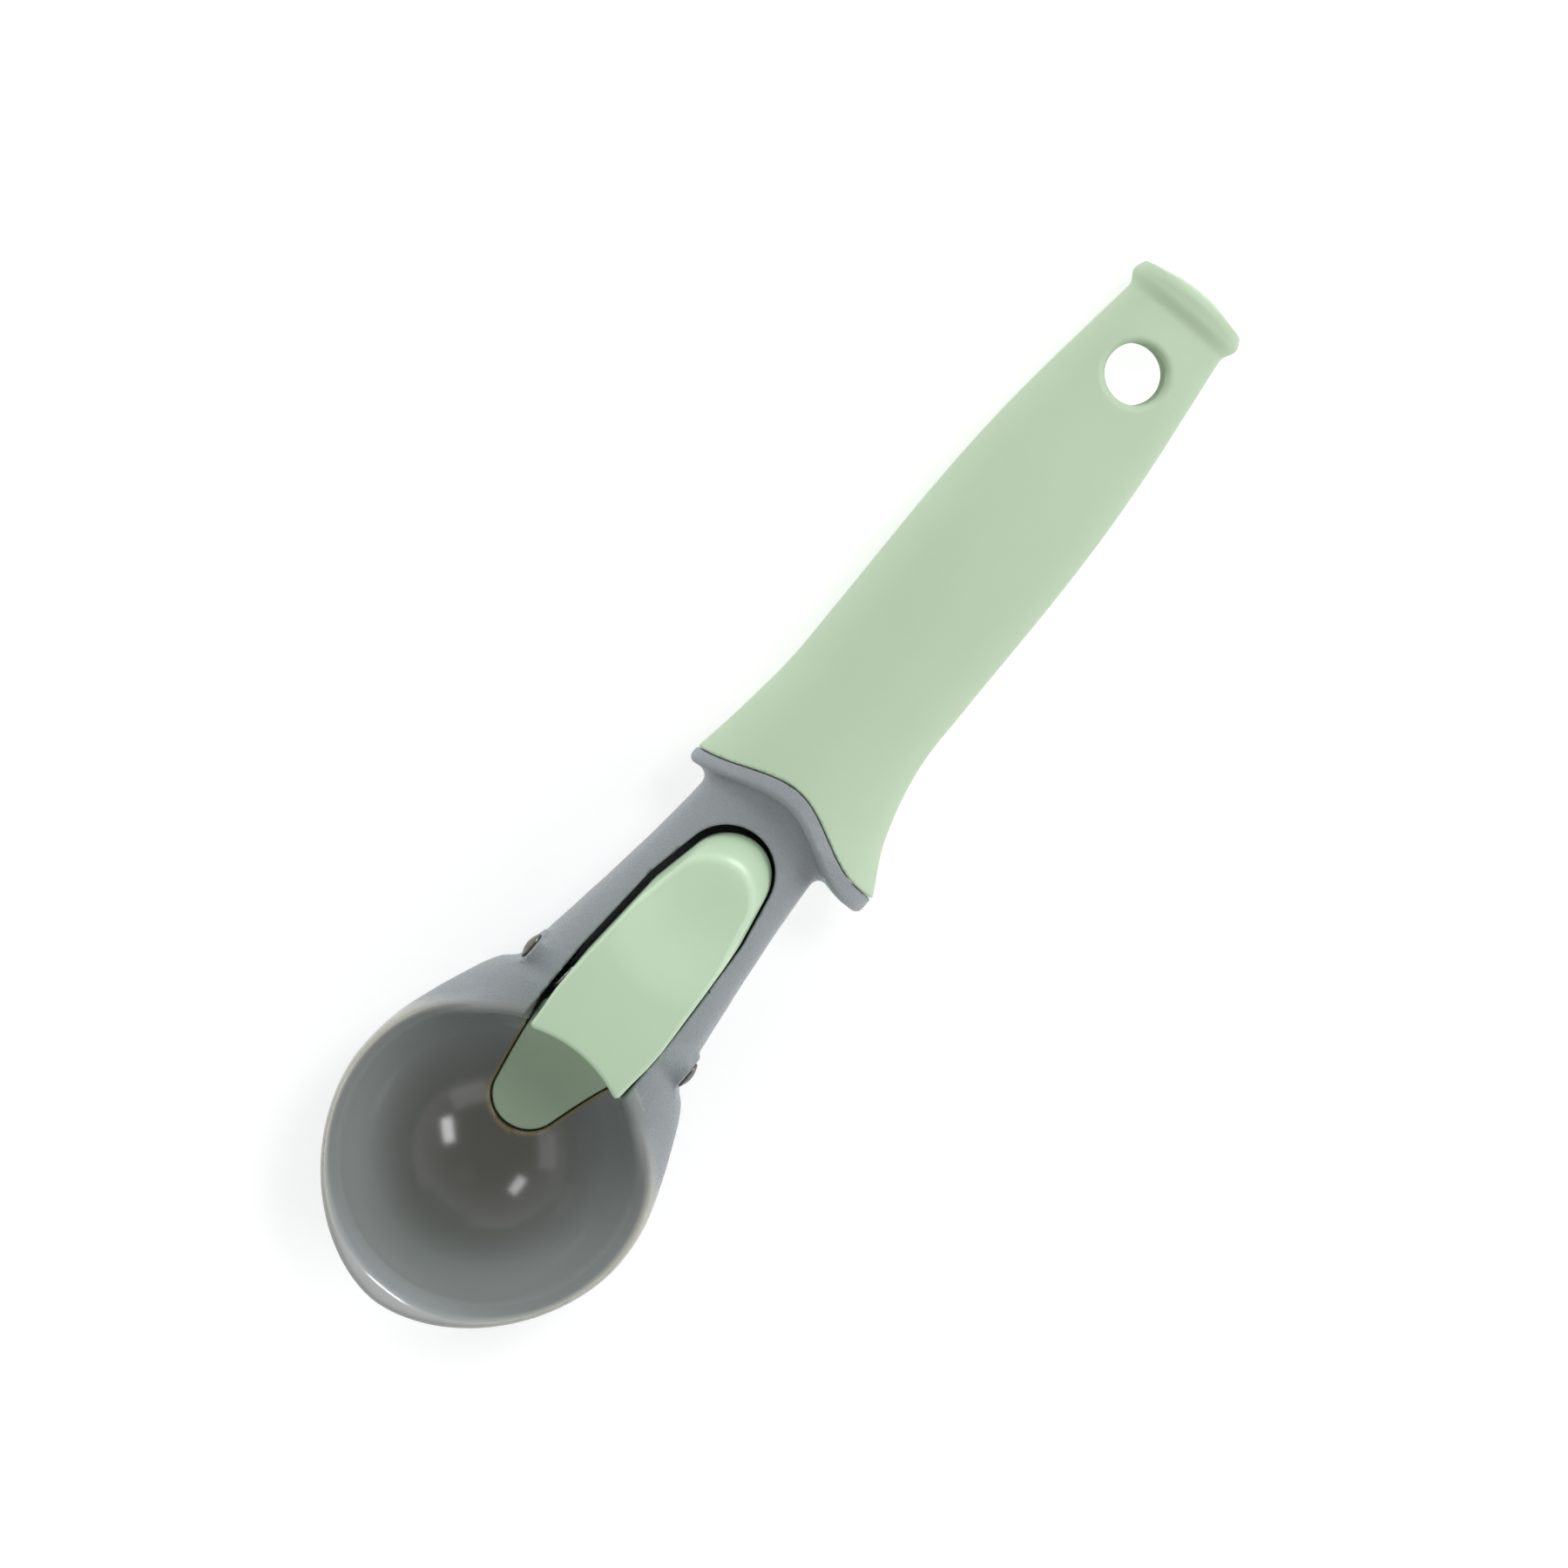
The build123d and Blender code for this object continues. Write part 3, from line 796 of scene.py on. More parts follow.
@dataclass
class ScoopBody:
    """The grey moulding: bowl, shoulders, slotted neck and collar."""

    layout: Layout
    # Pear
    half_width: float = 25.1
    front_reach: float = 27.4
    point_power: float = 1.8
    neck_reach: float = 70.0
    # Lip, whose bevel grows shallow towards the neck, and the rim drawn in there
    lip_depth: float = 2.2
    lip_side_inset: float = 0.9
    lip_front_inset: float = 0.8
    lip_neck_width: float = 1.0
    lip_shallow_share: float = 0.9
    lip_shallow_span: Span = (0.3, 0.85)
    lip_round: float = 3.0
    rim_draw: float = 0.8
    rim_clear: float = 4.0
    rim_span: Span = (0.2, 0.8)
    rim_round: float = 0.45
    # Deck's edge, rounder along the neck
    deck_round: float = 0.8
    neck_more_round: float = 3.6
    neck_span: Span = (8.0, 26.0)
    # Collar: reach of its left wing, its right wing and its apex
    collar_front: Place = (64.2, 62.5, 68.0)
    collar_rear: Place = (66.5, 65.6, 71.0)
    collar_skin_reach: float = 66.2
    collar_round: float = 1.25
    collar_fillet: float = 2.4
    # Bosses, channel and the tongue's pocket
    boss_radius: float = 3.1
    boss_fillet: float = 1.5
    channel_floor: float = 11.0
    channel_round: float = 1.2
    bowl_wall: float = 2.5
    slot_floor: float = 22.0
    pocket_radius: float = 23.9
    pocket_clear: Span = (0.1, 0.2)
    pocket_relief: float = 0.4
    relief_span: Span = (13.0, 17.0)
    edge_round: float = 0.3
    # Brown line round the tongue, painted light and shade of the gap there: its outer edge, and how
    # it fades outwards and off the bowl
    gap_clear: Span = (0.5, 0.55)
    gap_fade: Span = (0.2, -0.1)
    gap_depth: Span = (0.9, 0.5)
    grid: Grid = Grid(
        box=((-97.6, 1.2), (-25.3, 25.3), (-0.1, 31.2)),
        cell=0.52,
        fine=(((-66.0, -54.0),), ((-25.5, -23.0), (-9.6, 9.6), (23.0, 25.5)), ((24.2, 27.2),)),
    )

    def outside(self, points: Array) -> Array:
        """Distance to the pear: a superellipse of revolution ahead of the bowl's middle, rows behind.

        Args:
            points: Places in the tool's frame.

        Returns:
            The distance, negative inside.
        """
        lay = self.layout
        x, y, z = np.moveaxis(points, -1, 0)
        ahead = np.maximum(lay.bowl_x - x, 0) / self.front_reach
        ring = np.hypot(y, z - self.half_width) / self.half_width
        level = (ahead**self.point_power + ring**self.point_power) ** (1 / self.point_power)
        nose = (level - 1) * self.half_width
        along = (x - lay.bowl_x) / self.neck_reach
        rows = smooth_rows(PEAR_SHARES, along, True) * self.half_width
        wide = smooth_rows(PEAR_WIDTH_SHARES[:, None], along, True)[..., 0] * self.half_width
        up = z - rows[..., 0]
        rear = ellipse_field(y, up, wide, np.where(up > 0, rows[..., 2], rows[..., 1]))
        return np.where(x < lay.bowl_x, nose, rear)

    def lip_cut(self, points: Array) -> Array:
        """Distance into the air over the lip's bevel, a cone from the rim up to the outer edge.

        Args:
            points: Places in the tool's frame.

        Returns:
            The distance, negative in the air.
        """
        lay = self.layout
        x, y, z = np.moveaxis(points, -1, 0)
        dx = x - lay.bowl_x
        reach = np.maximum(np.hypot(dx, y), TINY)
        rim = math.sqrt(lay.bowl_radius**2 - (lay.bowl_z - lay.deck + self.lip_depth) ** 2)
        wide = self.half_width - self.lip_side_inset
        front = self.front_reach - self.lip_front_inset
        power = self.point_power
        cosine, sine = np.abs(dx) / reach, np.abs(y) / reach
        pointed = ((cosine / front) ** power + (sine / wide) ** power) ** (-1 / power)
        oval = 1 / np.hypot(cosine / (rim + self.lip_neck_width), sine / wide)
        edge = np.where(dx < 0, pointed, oval)
        shallow = self.lip_shallow_share * smooth_step(dx / reach, *self.lip_shallow_span)
        depth = self.lip_depth * (1 - shallow)
        slope = depth / (edge - rim)
        bevel = lay.deck - depth + slope * np.maximum(reach - rim, 0)
        return (bevel - z) / np.hypot(1, slope)

    def room(self, points: Array) -> Array:
        """Distance into the bowl: a sphere, an upright wall that draws the rim in, and the bevel.

        Args:
            points: Places in the tool's frame.

        Returns:
            The distance, negative in the air of the bowl.
        """
        lay = self.layout
        x, y, _ = np.moveaxis(points, -1, 0)
        dx = x - lay.bowl_x
        reach = np.hypot(dx, y)
        towards_neck = smooth_step(dx / np.maximum(reach, TINY), *self.rim_span)
        drawn = (self.rim_clear + self.rim_draw) * towards_neck
        wall = reach - lay.bowl_radius - self.rim_clear + drawn
        sphere = sphere_field(points, lay.bowl_middle(), lay.bowl_radius)
        bowl = round_meet(sphere, wall, self.rim_clear)
        return round_join(bowl, self.lip_cut(points), self.lip_round)

    def field(self, points: Array) -> Array:
        """Distance to the whole moulding: pear, collar and bosses, less bowl, channel and pocket.

        Args:
            points: Places in the tool's frame.

        Returns:
            The distance, negative inside.
        """
        lay = self.layout
        x, y, z = np.moveaxis(points, -1, 0)
        rear = x - lay.wave(y, *self.collar_rear)
        front = lay.wave(y, *self.collar_front) - x
        on_neck = smooth_step(x - lay.bowl_x, *self.neck_span)
        edge = self.deck_round + self.neck_more_round * on_neck
        neck = np.maximum(round_meet(self.outside(points), z - lay.deck, edge), rear)
        skin = lay.handle(points, self.collar_skin_reach)
        collar = np.maximum(round_meet(skin, front, self.collar_round), rear)
        solid = round_join(neck, collar, self.collar_fillet)
        boss = np.hypot(x - lay.pivot_x, z - lay.pivot_z) - self.boss_radius
        boss = np.maximum(boss, np.abs(y) - lay.pin_half_span)
        solid = round_join(solid, boss, self.boss_fillet)
        solid = round_meet(solid, -self.room(points), self.rim_round)
        slot = lay.slot(x, y)
        channel = round_meet(slot, self.channel_floor - z, self.channel_round)
        wall = sphere_field(points, lay.bowl_middle(), lay.bowl_radius + self.bowl_wall)
        channel = np.minimum(np.maximum(channel, -wall), np.maximum(slot, self.slot_floor - z))
        # High up the pocket is wider, to clear the tongue's root as the lever turns
        pocket = lay.tongue(x, y, *self.pocket_clear)
        pocket = pocket - self.pocket_relief * smooth_step(z, *self.relief_span)
        back = sphere_field(points, lay.bowl_middle(lay.tongue_set_back), self.pocket_radius)
        pocket = np.maximum(pocket, back)
        return round_meet(solid, -np.minimum(channel, pocket), self.edge_round)

    def build(self) -> bpy.types.Object:
        """Mesh the moulding, paint the gap's light and shade as a line round the tongue, and dress
        it.

        Returns:
            The piece.
        """
        lay = self.layout
        points, faces, normals = level_surface(self.field, self.grid.axes())
        piece = new_piece("scoop_body_moulding", points, faces, normals)
        x, y, _ = points.T
        around = smooth_step(lay.tongue(x, y, *self.gap_clear), *self.gap_fade)
        off_bowl = np.abs(sphere_field(points, lay.bowl_middle(), lay.bowl_radius))
        near = smooth_step(off_bowl, *self.gap_depth)
        # The line is painted light and shade of the tongue's gap, kept in a point attribute
        line = piece.data.attributes.new(PAINTED_GAP_LINE, "FLOAT", "POINT")
        line.data.foreach_set("value", (around * near).astype(np.float32))
        finish = GreyMoulding().build(lay.bowl_middle(), lay.bowl_radius, lay.deck)
        piece.data.materials.append(finish)
        return seat(piece, Body.SCOOP, "scoop_body")


@dataclass
class Grip:
    """The soft green sleeve with its flared front, hanging hole and end lip."""

    layout: Layout
    # Front wave: reach of its left wing, its right wing and its apex
    front: Place = (66.6, 65.7, 71.1)
    front_round: float = 0.4
    hole_radius: float = 4.72
    hole_round: float = 1.2
    lip_wide: float = 9.9
    lip_high: float = 6.6
    lip_length: float = 4.6
    lip_front_round: float = 1.2
    lip_rear_round: float = 1.15
    lip_fillet: float = 1.7
    end_radius: float = 23.0
    end_inset: float = 0.02
    grid: Grid = Grid(box=((-5.2, 97.6), (-20.4, 16.4), (-0.1, 30.6)), cell=0.42)

    def field(self, points: Array) -> Array:
        """Distance to the sleeve: the handle behind the wave, with the end lip, less the hole.

        Args:
            points: Places in the tool's frame.

        Returns:
            The distance, negative inside.
        """
        lay = self.layout
        x, y, z = np.moveaxis(points, -1, 0)
        sleeve = np.maximum(lay.handle(points), x - lay.end_x + self.lip_length / 2)
        sleeve = round_meet(sleeve, lay.wave(y, *self.front) - x, self.front_round)
        lip = ellipse_field(y, z - self.lip_high, self.lip_wide, self.lip_high)
        dome = (lay.end_x - self.end_inset - self.end_radius, 0.0, self.lip_high)
        lip = round_meet(lip, sphere_field(points, dome, self.end_radius), self.lip_rear_round)
        lip = round_meet(lip, lay.end_x - self.lip_length - x, self.lip_front_round)
        solid = round_join(sleeve, lip, self.lip_fillet)
        hole = np.hypot(x - lay.hole_x, y) - self.hole_radius
        return round_meet(solid, -hole, self.hole_round)

    def build(self) -> bpy.types.Object:
        """Mesh and dress the sleeve.

        Returns:
            The piece.
        """
        piece = new_piece("grip_sleeve", *level_surface(self.field, self.grid.axes()))
        finish = GreenMoulding(
            name="TPE_soft_touch_green",
            colour="#ABC1A4",
            pale="#B1C6AA",
            roughness=0.62,
            grain_mm=0.35,
            grain_depth_mm=0.03,
            ior=1.48,
            sheen=0.35,
        )
        piece.data.materials.append(finish.build())
        return seat(piece, Body.SCOOP, "grip")


@dataclass
class EjectorLever:
    """The green lever: thumb pad, hub and the tongue in the bowl's back wall."""

    layout: Layout
    # Pad, which leans forward above its shoulder
    pad_bottom: float = 22.5
    pad_shoulder: float = 24.5
    pad_top: float = 30.8
    lean_share: float = 0.85
    side_gap: float = 0.28
    left_gap: float = 0.85
    left_span: Span = (-4.0, 6.0)
    flank_start: float = 25.0
    flank_draft_share: float = 0.06
    front_draw: float = 0.45
    front_draw_span: Span = (27.0, 19.0)
    front_radius: float = 20.4
    front_round: float = 1.0
    rear_gap: float = 0.35
    rear_run: float = 30.0
    top_round: float = 0.7
    rear_more_round: float = 0.3
    rear_round_span: Span = (40.0, 50.0)
    arch_radius: float = 130.0
    arch_reach: float = 40.0
    dimple_reach: float = 46.2
    dimple_radius: float = 23.9
    dimple_depth: float = 0.9
    dimple_round: float = 2.5
    # Hollow under the pad
    hollow_front: float = 26.5
    hollow_reach: float = 33.0
    hollow_length: float = 16.5
    hollow_wide: float = 6.6
    hollow_end: float = 4.9
    hollow_top: float = 28.0
    # Tongue
    tongue_back_radius: float = 23.45
    tongue_top: float = 23.5
    tongue_back_round: float = 0.2
    tongue_edge_round: float = 0.3
    # Hub and the web that carries the tongue, placed from the pivot
    hub_radius: float = 3.5
    hub_y: float = -2.45
    hub_half_width: float = 6.7
    bore_radius: float = 1.55
    coil_room_radius: float = 3.1
    coil_room_y: float = 4.25
    web_half_width: float = 4.0
    web_offset: float = -3.0
    web_half_length: float = 3.0
    web_z: float = 20.75
    web_half_height: float = 3.75
    grid: Grid = Grid(box=((-66.6, -8.0), (-9.6, 9.6), (1.9, 31.0)), cell=0.32)

    def pad(self, points: Array) -> Array:
        """Distance to the pad: the slot's plan, leaning forward, under a wide arch with a dimple.

        Args:
            points: Places in the tool's frame.

        Returns:
            The distance, negative inside.
        """
        lay = self.layout
        x, y, z = np.moveaxis(points, -1, 0)
        reach = x - lay.bowl_x
        lean = self.lean_share * np.maximum(z - self.pad_shoulder, 0)
        rear = np.clip((x - lay.pivot_x) / self.rear_run, 0, 1)
        side = lay.slot(x + lean + self.rear_gap * rear, y) + self.side_gap
        # The pad is set over to the right, so that the left gap is wide and its flank lies in shade
        left = smooth_step(y, *self.left_span)
        draft = self.flank_draft_share * np.maximum(z - self.flank_start, 0)
        side += (self.left_gap - draft) * left
        side += self.front_draw * smooth_step(reach, *self.front_draw_span)
        top = np.hypot(reach - self.arch_reach, z - self.pad_top + self.arch_radius)
        pad = round_meet(side, self.front_radius - np.hypot(reach, y), self.front_round)
        edge = self.top_round + self.rear_more_round * smooth_step(reach, *self.rear_round_span)
        pad = round_meet(pad, top - self.arch_radius, edge)
        pad = np.maximum(pad, self.pad_bottom - z)
        dimple_z = self.pad_top - self.dimple_depth + self.dimple_radius
        dimple = (lay.bowl_x + self.dimple_reach, 0.0, dimple_z)
        pad = round_meet(pad, -sphere_field(points, dimple, self.dimple_radius), self.dimple_round)
        behind = reach - self.hollow_reach
        hull = capsule_field(behind, y, self.hollow_length, self.hollow_wide, self.hollow_end)
        ahead = np.maximum(np.abs(y) - self.hollow_wide, self.hollow_front - reach)
        hollow = np.where(behind < 0, ahead, hull)
        return np.maximum(pad, -np.maximum(hollow, z - self.hollow_top))

    def field(self, points: Array) -> Array:
        """Distance to the lever: pad, tongue, hub and web, less the coil's room and the bore.

        Args:
            points: Places in the tool's frame.

        Returns:
            The distance, negative inside.
        """
        lay = self.layout
        x, y, z = np.moveaxis(points, -1, 0)
        bowl = sphere_field(points, lay.bowl_middle(), lay.bowl_radius)
        back = sphere_field(points, lay.bowl_middle(lay.tongue_set_back), self.tongue_back_radius)
        back = np.maximum(back, z - self.tongue_top)
        blade = round_meet(lay.tongue(x, y), back, self.tongue_back_round)
        blade = round_meet(blade, -bowl, self.tongue_edge_round)
        ring = np.hypot(x - lay.pivot_x, z - lay.pivot_z)
        hub = np.maximum(ring - self.hub_radius, np.abs(y - self.hub_y) - self.hub_half_width)
        web = np.abs(x - lay.pivot_x - self.web_offset) - self.web_half_length
        web = np.maximum(web, np.abs(y) - self.web_half_width)
        web = np.maximum(web, np.abs(z - self.web_z) - self.web_half_height)
        web = np.maximum(web, -bowl)
        solid = np.minimum(np.minimum(self.pad(points), blade), np.minimum(hub, web))
        coil_room = np.maximum(ring - self.coil_room_radius, self.coil_room_y - y)
        return np.maximum(np.maximum(solid, -coil_room), self.bore_radius - ring)

    def build(self) -> bpy.types.Object:
        """Mesh and dress the lever.

        Returns:
            The piece.
        """
        piece = new_piece("ejector_lever_moulding", *level_surface(self.field, self.grid.axes()))
        finish = GreenMoulding(
            name="PP_satin_green",
            colour="#BAD2B5",
            pale="#BFD7B9",
            roughness=0.34,
            grain_mm=0.5,
            grain_depth_mm=0.012,
            ior=1.49,
        )
        piece.data.materials.append(finish.build())
        return seat(piece, Body.LEVER, "ejector_lever")


@dataclass
class PivotRivet:
    """The two-part pressed rivet: a barrel with the left head and a stud with the right one."""

    layout: Layout
    head_radius: float = 2.15
    head_height: float = 1.05
    head_crown: float = 0.5
    head_round: float = 0.25
    barrel_radius: float = 1.5
    barrel_short: float = 0.9
    stud_radius: float = 0.9
    stud_length: float = 12.0
    bore_clear: float = 0.03
    bore_spare: float = 0.9
    pole_radius: float = 0.001
    dome_rows: int = 14
    round_rows: int = 7
    columns: int = 64

    def half(self, name: str, profile: Array, side: int) -> bpy.types.Object:
        """Turn a profile of radius and place along the pin into a closed solid.

        Args:
            name: Name of the piece.
            profile: Rows of radius and place, from the head's middle to the far end's middle.
            side: 1 for the tool's left, -1 for its right.

        Returns:
            The piece.
        """
        lay = self.layout
        turn = np.linspace(0, 2 * math.pi, self.columns, endpoint=False) * side
        radius, place, angle = np.broadcast_arrays(profile[:, :1], profile[:, 1:], turn)
        x = lay.pivot_x + radius * np.cos(angle)
        z = lay.pivot_z + radius * np.sin(angle)
        points = np.stack([x, side * place, z], axis=-1).reshape(-1, 3)
        return new_piece(name, points, grid_faces(len(profile), self.columns)[:, ::-1])

    def head(self) -> Array:
        """Profile of a head: an arc from its middle, a tight shoulder, and a flat underside.

        Returns:
            Rows of radius and place along the pin.
        """
        seat_place = self.layout.pin_half_span
        crown = seat_place + self.head_height
        flat = self.head_radius - self.head_round
        t = np.linspace(0, 1, self.dome_rows)[:, None]
        dome = np.hstack([self.pole_radius + flat * t, crown - self.head_crown * t**2])
        turn = np.linspace(0, math.pi / 2, self.round_rows)[1:, None]
        edge = crown - self.head_crown - self.head_round
        round_radius = flat + self.head_round * np.sin(turn)
        shoulder = np.hstack([round_radius, edge + self.head_round * np.cos(turn)])
        return np.vstack([dome, shoulder, [(self.head_radius, seat_place)]])

    def build(self) -> list[bpy.types.Object]:
        """Make and dress both halves.

        Returns:
            The barrel and the stud.
        """
        half_span = self.layout.pin_half_span
        end = self.barrel_short - half_span
        bore = self.stud_radius + self.bore_clear
        bottom = self.stud_length - half_span + self.bore_spare
        barrel = [(self.barrel_radius, half_span), (self.barrel_radius, end), (bore, end)]
        barrel += [(bore, bottom), (self.pole_radius, bottom)]
        tip = half_span - self.stud_length
        stud = [(self.stud_radius, half_span), (self.stud_radius, tip), (self.pole_radius, tip)]
        steel = Metal("mild_steel_nickel_plated", "#6A6864", roughness=0.32, mark_mm=0.12).build()
        made = []
        for name, shank, side, cad in (
            ("pivot_barrel_rivet", barrel, 1, "pivot_barrel"),
            ("pivot_stud_rivet", stud, -1, "pivot_stud"),
        ):
            piece = self.half(name, np.vstack([self.head(), shank]), side)
            piece.data.materials.append(steel)
            made.append(seat(piece, Body.SCOOP, cad))
        return made


@dataclass
class ReturnSpring:
    """The torsion spring round the pivot, one leg on the channel's floor and one under the pad."""

    layout: Layout
    wire_radius: float = 0.35
    coil_radius: float = 2.3
    outer_y: float = 9.0
    inner_y: float = 4.9
    floor_end: Span = (5.5, -9.85)
    pad_end: Span = (13.0, 5.85)
    whole_turns: int = 3
    coil_rows: int = 260
    leg_rows: int = 24
    columns: int = 16
    pole_share: float = 0.002

    def path(self) -> Array:
        """Middle line of the wire: a straight leg, a clockwise helix and a leg, each tangent.

        Returns:
            The line's points.
        """
        rho = self.coil_radius
        floor_x, floor_z = self.floor_end
        pad_x, pad_z = self.pad_end
        first = math.atan2(floor_z, floor_x) + math.asin(rho / math.hypot(floor_x, floor_z))
        last = math.atan2(pad_z, pad_x) - math.asin(rho / math.hypot(pad_x, pad_z))
        start = first - math.pi / 2
        circle = 2 * math.pi
        turn = (start - last - math.pi / 2) % circle + self.whole_turns * circle
        t = np.linspace(0, 1, self.coil_rows)
        angle = start - turn * t
        y = self.outer_y + (self.inner_y - self.outer_y) * t
        coil = np.stack([rho * np.cos(angle), y, rho * np.sin(angle)], axis=1)
        share = np.linspace(0, 1, self.leg_rows)[:, None]
        floor = np.array((floor_x, self.outer_y, floor_z))
        pad = np.array((pad_x, self.inner_y, pad_z))
        floor_leg = floor + (coil[0] - floor) * share[:-1]
        pad_leg = coil[-1] + (pad - coil[-1]) * share[1:]
        line = np.vstack([floor_leg, coil, pad_leg])
        return line + np.array((self.layout.pivot_x, 0.0, self.layout.pivot_z))

    def build(self) -> bpy.types.Object:
        """Carry a circle along the wire's line, close its ends, and dress it.

        Returns:
            The piece.
        """
        line = self.path()
        along = np.gradient(line, axis=0)
        along /= np.linalg.norm(along, axis=1, keepdims=True)
        side = np.cross(along, (0.0, 1.0, 0.0))
        side /= np.linalg.norm(side, axis=1, keepdims=True)
        other = np.cross(along, side)
        angle = np.linspace(0, 2 * math.pi, self.columns, endpoint=False)[None, :, None]
        ring = self.wire_radius * (side[:, None] * np.cos(angle) + other[:, None] * np.sin(angle))
        first, last = (line[k] + self.pole_share * ring[k][None] for k in (0, -1))
        tube = np.concatenate([first, line[:, None] + ring, last])
        faces = grid_faces(len(tube), self.columns)
        piece = new_piece("return_spring_wire", tube.reshape(-1, 3), faces)
        wire = Metal("music_wire_drawn", "#B4B4B6", roughness=0.24, mark_mm=0.3).build()
        piece.data.materials.append(wire)
        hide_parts("return_spring")
        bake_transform(piece)
        return piece


def seat(piece: bpy.types.Object, body: Body, cad: str) -> bpy.types.Object:
    """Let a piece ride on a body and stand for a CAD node.

    Args:
        piece: The finished piece.
        body: Body that carries it.
        cad: CAD node that it stands for.

    Returns:
        The piece.
    """
    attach(piece, body.value)
    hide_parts(cad)
    return piece


# Studio


@dataclass(frozen=True)
class Lamp:
    """One soft lamp: where it stands as seen from the tool, and its distance and size in metres.

    A lamp that doesn't light shows only in reflections, and one that doesn't shine shows in none.
    """

    name: str
    towards: Place
    distance: float
    size: Span
    watts: float
    lights: bool = True
    shines: bool = True
    roll_deg: float = 0.0


@dataclass
class Studio:
    """Pale floor, soft lamps and the camera above the tool."""

    layout: Layout
    lamps: tuple[Lamp, ...] = (
        Lamp("core_right", (0.08, -0.56, 0.825), 0.9, (0.3, 0.13), 1.3, lights=False, roll_deg=40.0),
        Lamp("core_left", (0.06, 0.57, 0.82), 0.9, (0.22, 0.11), 0.6, lights=False, roll_deg=12.0),
        Lamp("patch_right", (-0.41, -0.6, 0.68), 0.9, (0.4, 0.26), 0.34, lights=False),
        Lamp("patch_left", (-0.5, 0.54, 0.68), 0.9, (0.4, 0.22), 0.28, lights=False),
        Lamp("bank_right", (0.46, -0.79, 0.4), 1.5, (0.95, 0.4), 7.6, shines=False),
        Lamp("bank_left", (0.42, 0.81, 0.4), 1.5, (0.95, 0.4), 6.6, shines=False),
        Lamp("rear", (0.92, -0.05, 0.39), 1.6, (0.8, 0.4), 0.4),
        Lamp("key", (0.4, -0.03, 0.916), 1.5, (0.3, 0.3), 2.3, shines=False),
        Lamp("rear_glint", (0.93, -0.04, 0.36), 1.2, (0.5, 0.2), 5.5, lights=False),
    )
    lamp_target: Place = (-30.0, 0.0, 20.0)
    # Floor
    floor_half: float = 2500.0
    floor_drop: float = 0.05
    floor_colour: str = "#FAFAFA"
    floor_seen: str = "#F0F0F0"
    glow: float = 0.37
    hole_glow: float = 0.62
    hole_span: Span = (5.5, 9.0)
    # World: strength by height, and its share from ahead of the tool to behind it
    horizon: float = 1.08
    ceiling: float = 0.36
    ceiling_span: Span = (0.42, 0.88)
    ahead_share: float = 0.72
    behind_share: float = 1.15
    # Camera
    target: Place = (0.409, 1.402, 18.0)
    distance_mm: float = 1200.0
    picture_right: Span = (0.6361, -0.7716)
    tilt_deg: float = 4.2
    lean_deg: float = 0.288
    roll_deg: float = 0.275
    focal_px: float = 9223.3
    image_px: int = 1800
    sensor_mm: float = 36.0
    clip_m: Span = (0.01, 10.0)

    def floor(self) -> None:
        """Lay a wide floor that is white where it is seen and keeps the tool's shadow."""
        corners = self.floor_half * np.array([(-1, -1), (1, -1), (1, 1), (-1, 1)])
        points = np.column_stack([corners, np.full(len(corners), -self.floor_drop)])
        floor = new_piece("studio_floor", points, np.array([(0, 1, 2, 3)]))
        material, tree, shader = blank_material("studio_floor_white")
        path = node(tree, "ShaderNodeLightPath").outputs
        seen = path["Is Camera Ray"]
        for name in ("Is Glossy Ray", "Is Transmission Ray"):
            pair = {0: seen, 1: path[name]}
            seen = node(tree, "ShaderNodeMath", pair, operation="MAXIMUM").outputs[0]
        colours = {0: seen, 6: srgb(self.floor_colour), 7: srgb(self.floor_seen)}
        tone = node(tree, "ShaderNodeMix", colours, data_type="RGBA").outputs[2]
        # Where it is seen the floor glows a little, so that shadows stay as pale as on white paper.
        # Painted light: the glow is stronger below the hanging hole, so that the floor seen through
        # it is as white as the open one, though the handle shades it
        place = node(tree, "ShaderNodeTexCoord").outputs["Object"]
        hole = (self.layout.hole_x * MM, 0.0, 0.0)
        far = node(tree, "ShaderNodeVectorMath", {0: place, 1: hole}, operation="DISTANCE")
        start, end = (s * MM for s in self.hole_span)
        span = {"From Min": start, "From Max": end, "To Min": self.hole_glow, "To Max": self.glow}
        level = node(tree, "ShaderNodeMapRange", {"Value": far.outputs["Value"], **span})
        pair = {0: seen, 1: level.outputs["Result"]}
        dress = {
            "Base Color": tone,
            "Roughness": 0.9,
            "Specular IOR Level": 0.0,
            "Emission Color": srgb("#FFFFFF"),
            "Emission Strength": node(tree, "ShaderNodeMath", pair, operation="MULTIPLY").outputs[0],
        }
        feed(tree, shader, dress)
        floor.data.materials.append(material)

    def world(self) -> None:
        """Light the scene from a bright band round the horizon, with a darker ceiling above."""
        world = bpy.data.worlds.new("studio_world")
        bpy.context.scene.world = world
        world.use_nodes = True
        tree = world.node_tree
        tree.nodes.clear()
        way = node(tree, "ShaderNodeTexCoord").outputs["Generated"]
        axis = node(tree, "ShaderNodeSeparateXYZ", {"Vector": way}).outputs
        factors = []
        for value, (start, end), (first, last) in (
            (axis["Z"], self.ceiling_span, (self.horizon, self.ceiling)),
            (axis["X"], (-1.0, 1.0), (self.ahead_share, self.behind_share)),
        ):
            span = {"From Min": start, "From Max": end, "To Min": first, "To Max": last}
            made = node(tree, "ShaderNodeMapRange", {"Value": value, **span})
            factors.append(made.outputs["Result"])
        pair = dict(enumerate(factors))
        strength = node(tree, "ShaderNodeMath", pair, operation="MULTIPLY").outputs[0]
        light = {"Color": srgb("#FFFFFF"), "Strength": strength}
        back = node(tree, "ShaderNodeBackground", light)
        node(tree, "ShaderNodeOutputWorld", {"Surface": back.outputs[0]})

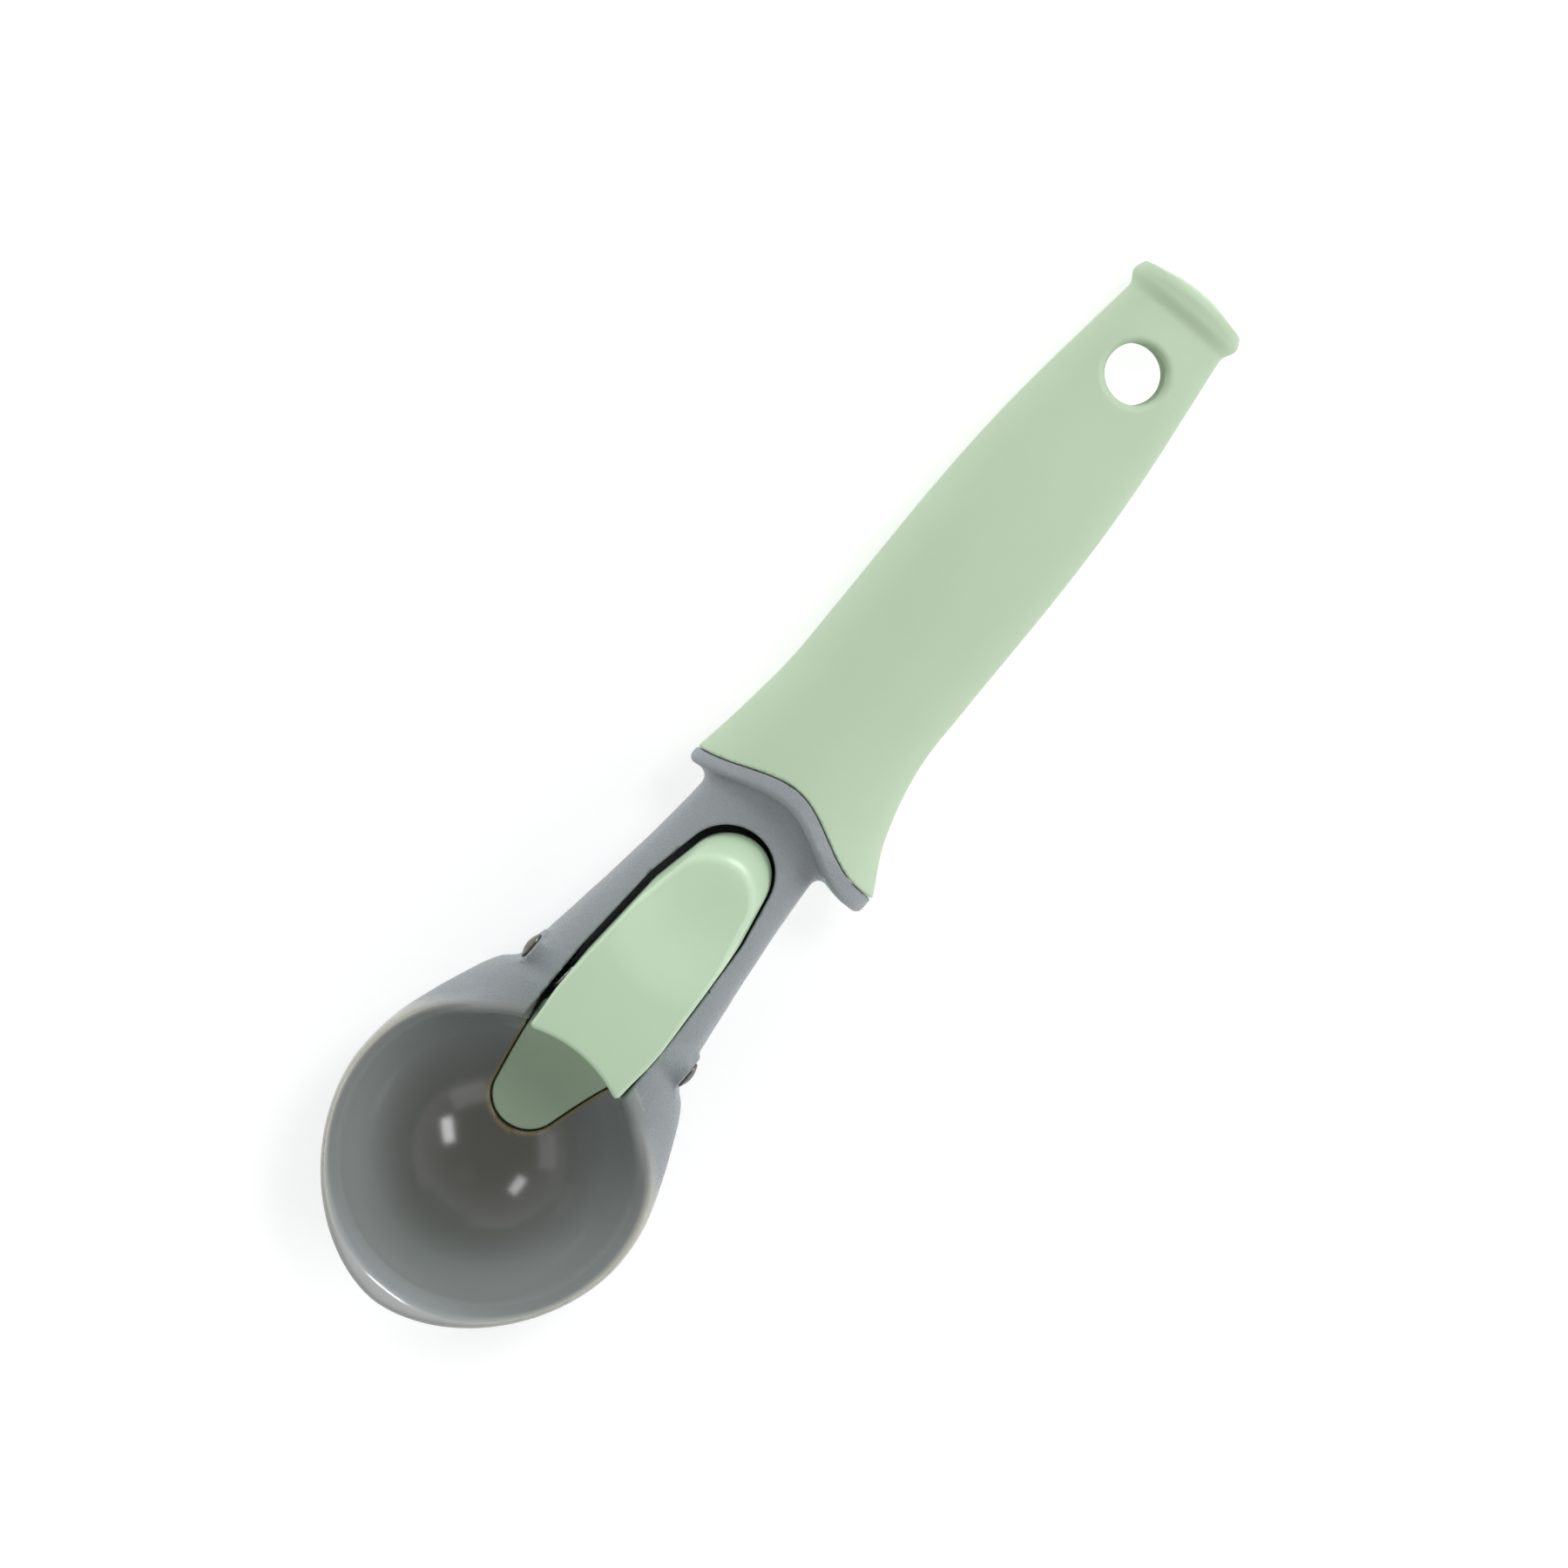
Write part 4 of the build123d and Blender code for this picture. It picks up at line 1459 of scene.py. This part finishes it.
    def light(self) -> None:
        """Hang the soft lamps, each turned to the tool."""
        for lamp in self.lamps:
            data = bpy.data.lights.new(lamp.name, "AREA")
            data.shape = "RECTANGLE"
            data.size, data.size_y = lamp.size
            data.energy = lamp.watts
            way = Vector(lamp.towards).normalized()
            made = bpy.data.objects.new(lamp.name, data)
            made.location = way * lamp.distance + Vector(self.lamp_target) * MM
            roll = Quaternion((0.0, 0.0, 1.0), math.radians(lamp.roll_deg))
            made.rotation_euler = (way.to_track_quat("Z", "Y") @ roll).to_euler()
            made.visible_diffuse = lamp.lights
            made.visible_glossy = lamp.shines
            made.visible_camera = False
            bpy.context.scene.collection.objects.link(made)

    def camera(self) -> None:
        """Set the camera above the tool, a little to its left, turned as the tool lies in view."""
        lean, tilt = (math.sin(math.radians(a)) for a in (self.lean_deg, self.tilt_deg))
        back = Vector((lean, tilt, math.sqrt(1 - lean**2 - tilt**2)))
        roll = math.radians(self.roll_deg)
        x, y = self.picture_right
        right = math.cos(roll) * Vector((x, y, 0)) + math.sin(roll) * Vector((-y, x, 0))
        right = (right - back * right.dot(back)).normalized()
        up = back.cross(right)
        data = bpy.data.cameras.new("camera")
        data.sensor_fit = "HORIZONTAL"
        data.sensor_width = self.sensor_mm
        data.lens = self.focal_px * self.sensor_mm / self.image_px
        data.clip_start, data.clip_end = self.clip_m
        camera = bpy.data.objects.new("camera", data)
        turn = Matrix((right, up, back)).transposed().to_4x4()
        turn.translation = (Vector(self.target) + back * self.distance_mm) * MM
        camera.matrix_world = turn
        bpy.context.scene.collection.objects.link(camera)
        bpy.context.scene.camera = camera

    def build(self) -> None:
        """Make the whole studio."""
        bpy.context.scene.view_settings.view_transform = "Standard"
        self.floor()
        self.world()
        self.light()
        self.camera()


def main() -> None:
    """Build each sub-assembly in order, then the studio, and note the sizes."""
    logging.basicConfig(level=logging.INFO, format="%(name)s: %(message)s")
    layout = Layout()
    made = [ScoopBody(layout).build(), Grip(layout).build(), EjectorLever(layout).build()]
    made += PivotRivet(layout).build()
    made.append(ReturnSpring(layout).build())
    for piece in made:
        LOG.info("%s: %d faces", piece.name, len(piece.data.polygons))
    Studio(layout).build()
    bpy.context.view_layer.update()


if __name__ == "__main__":
    main()
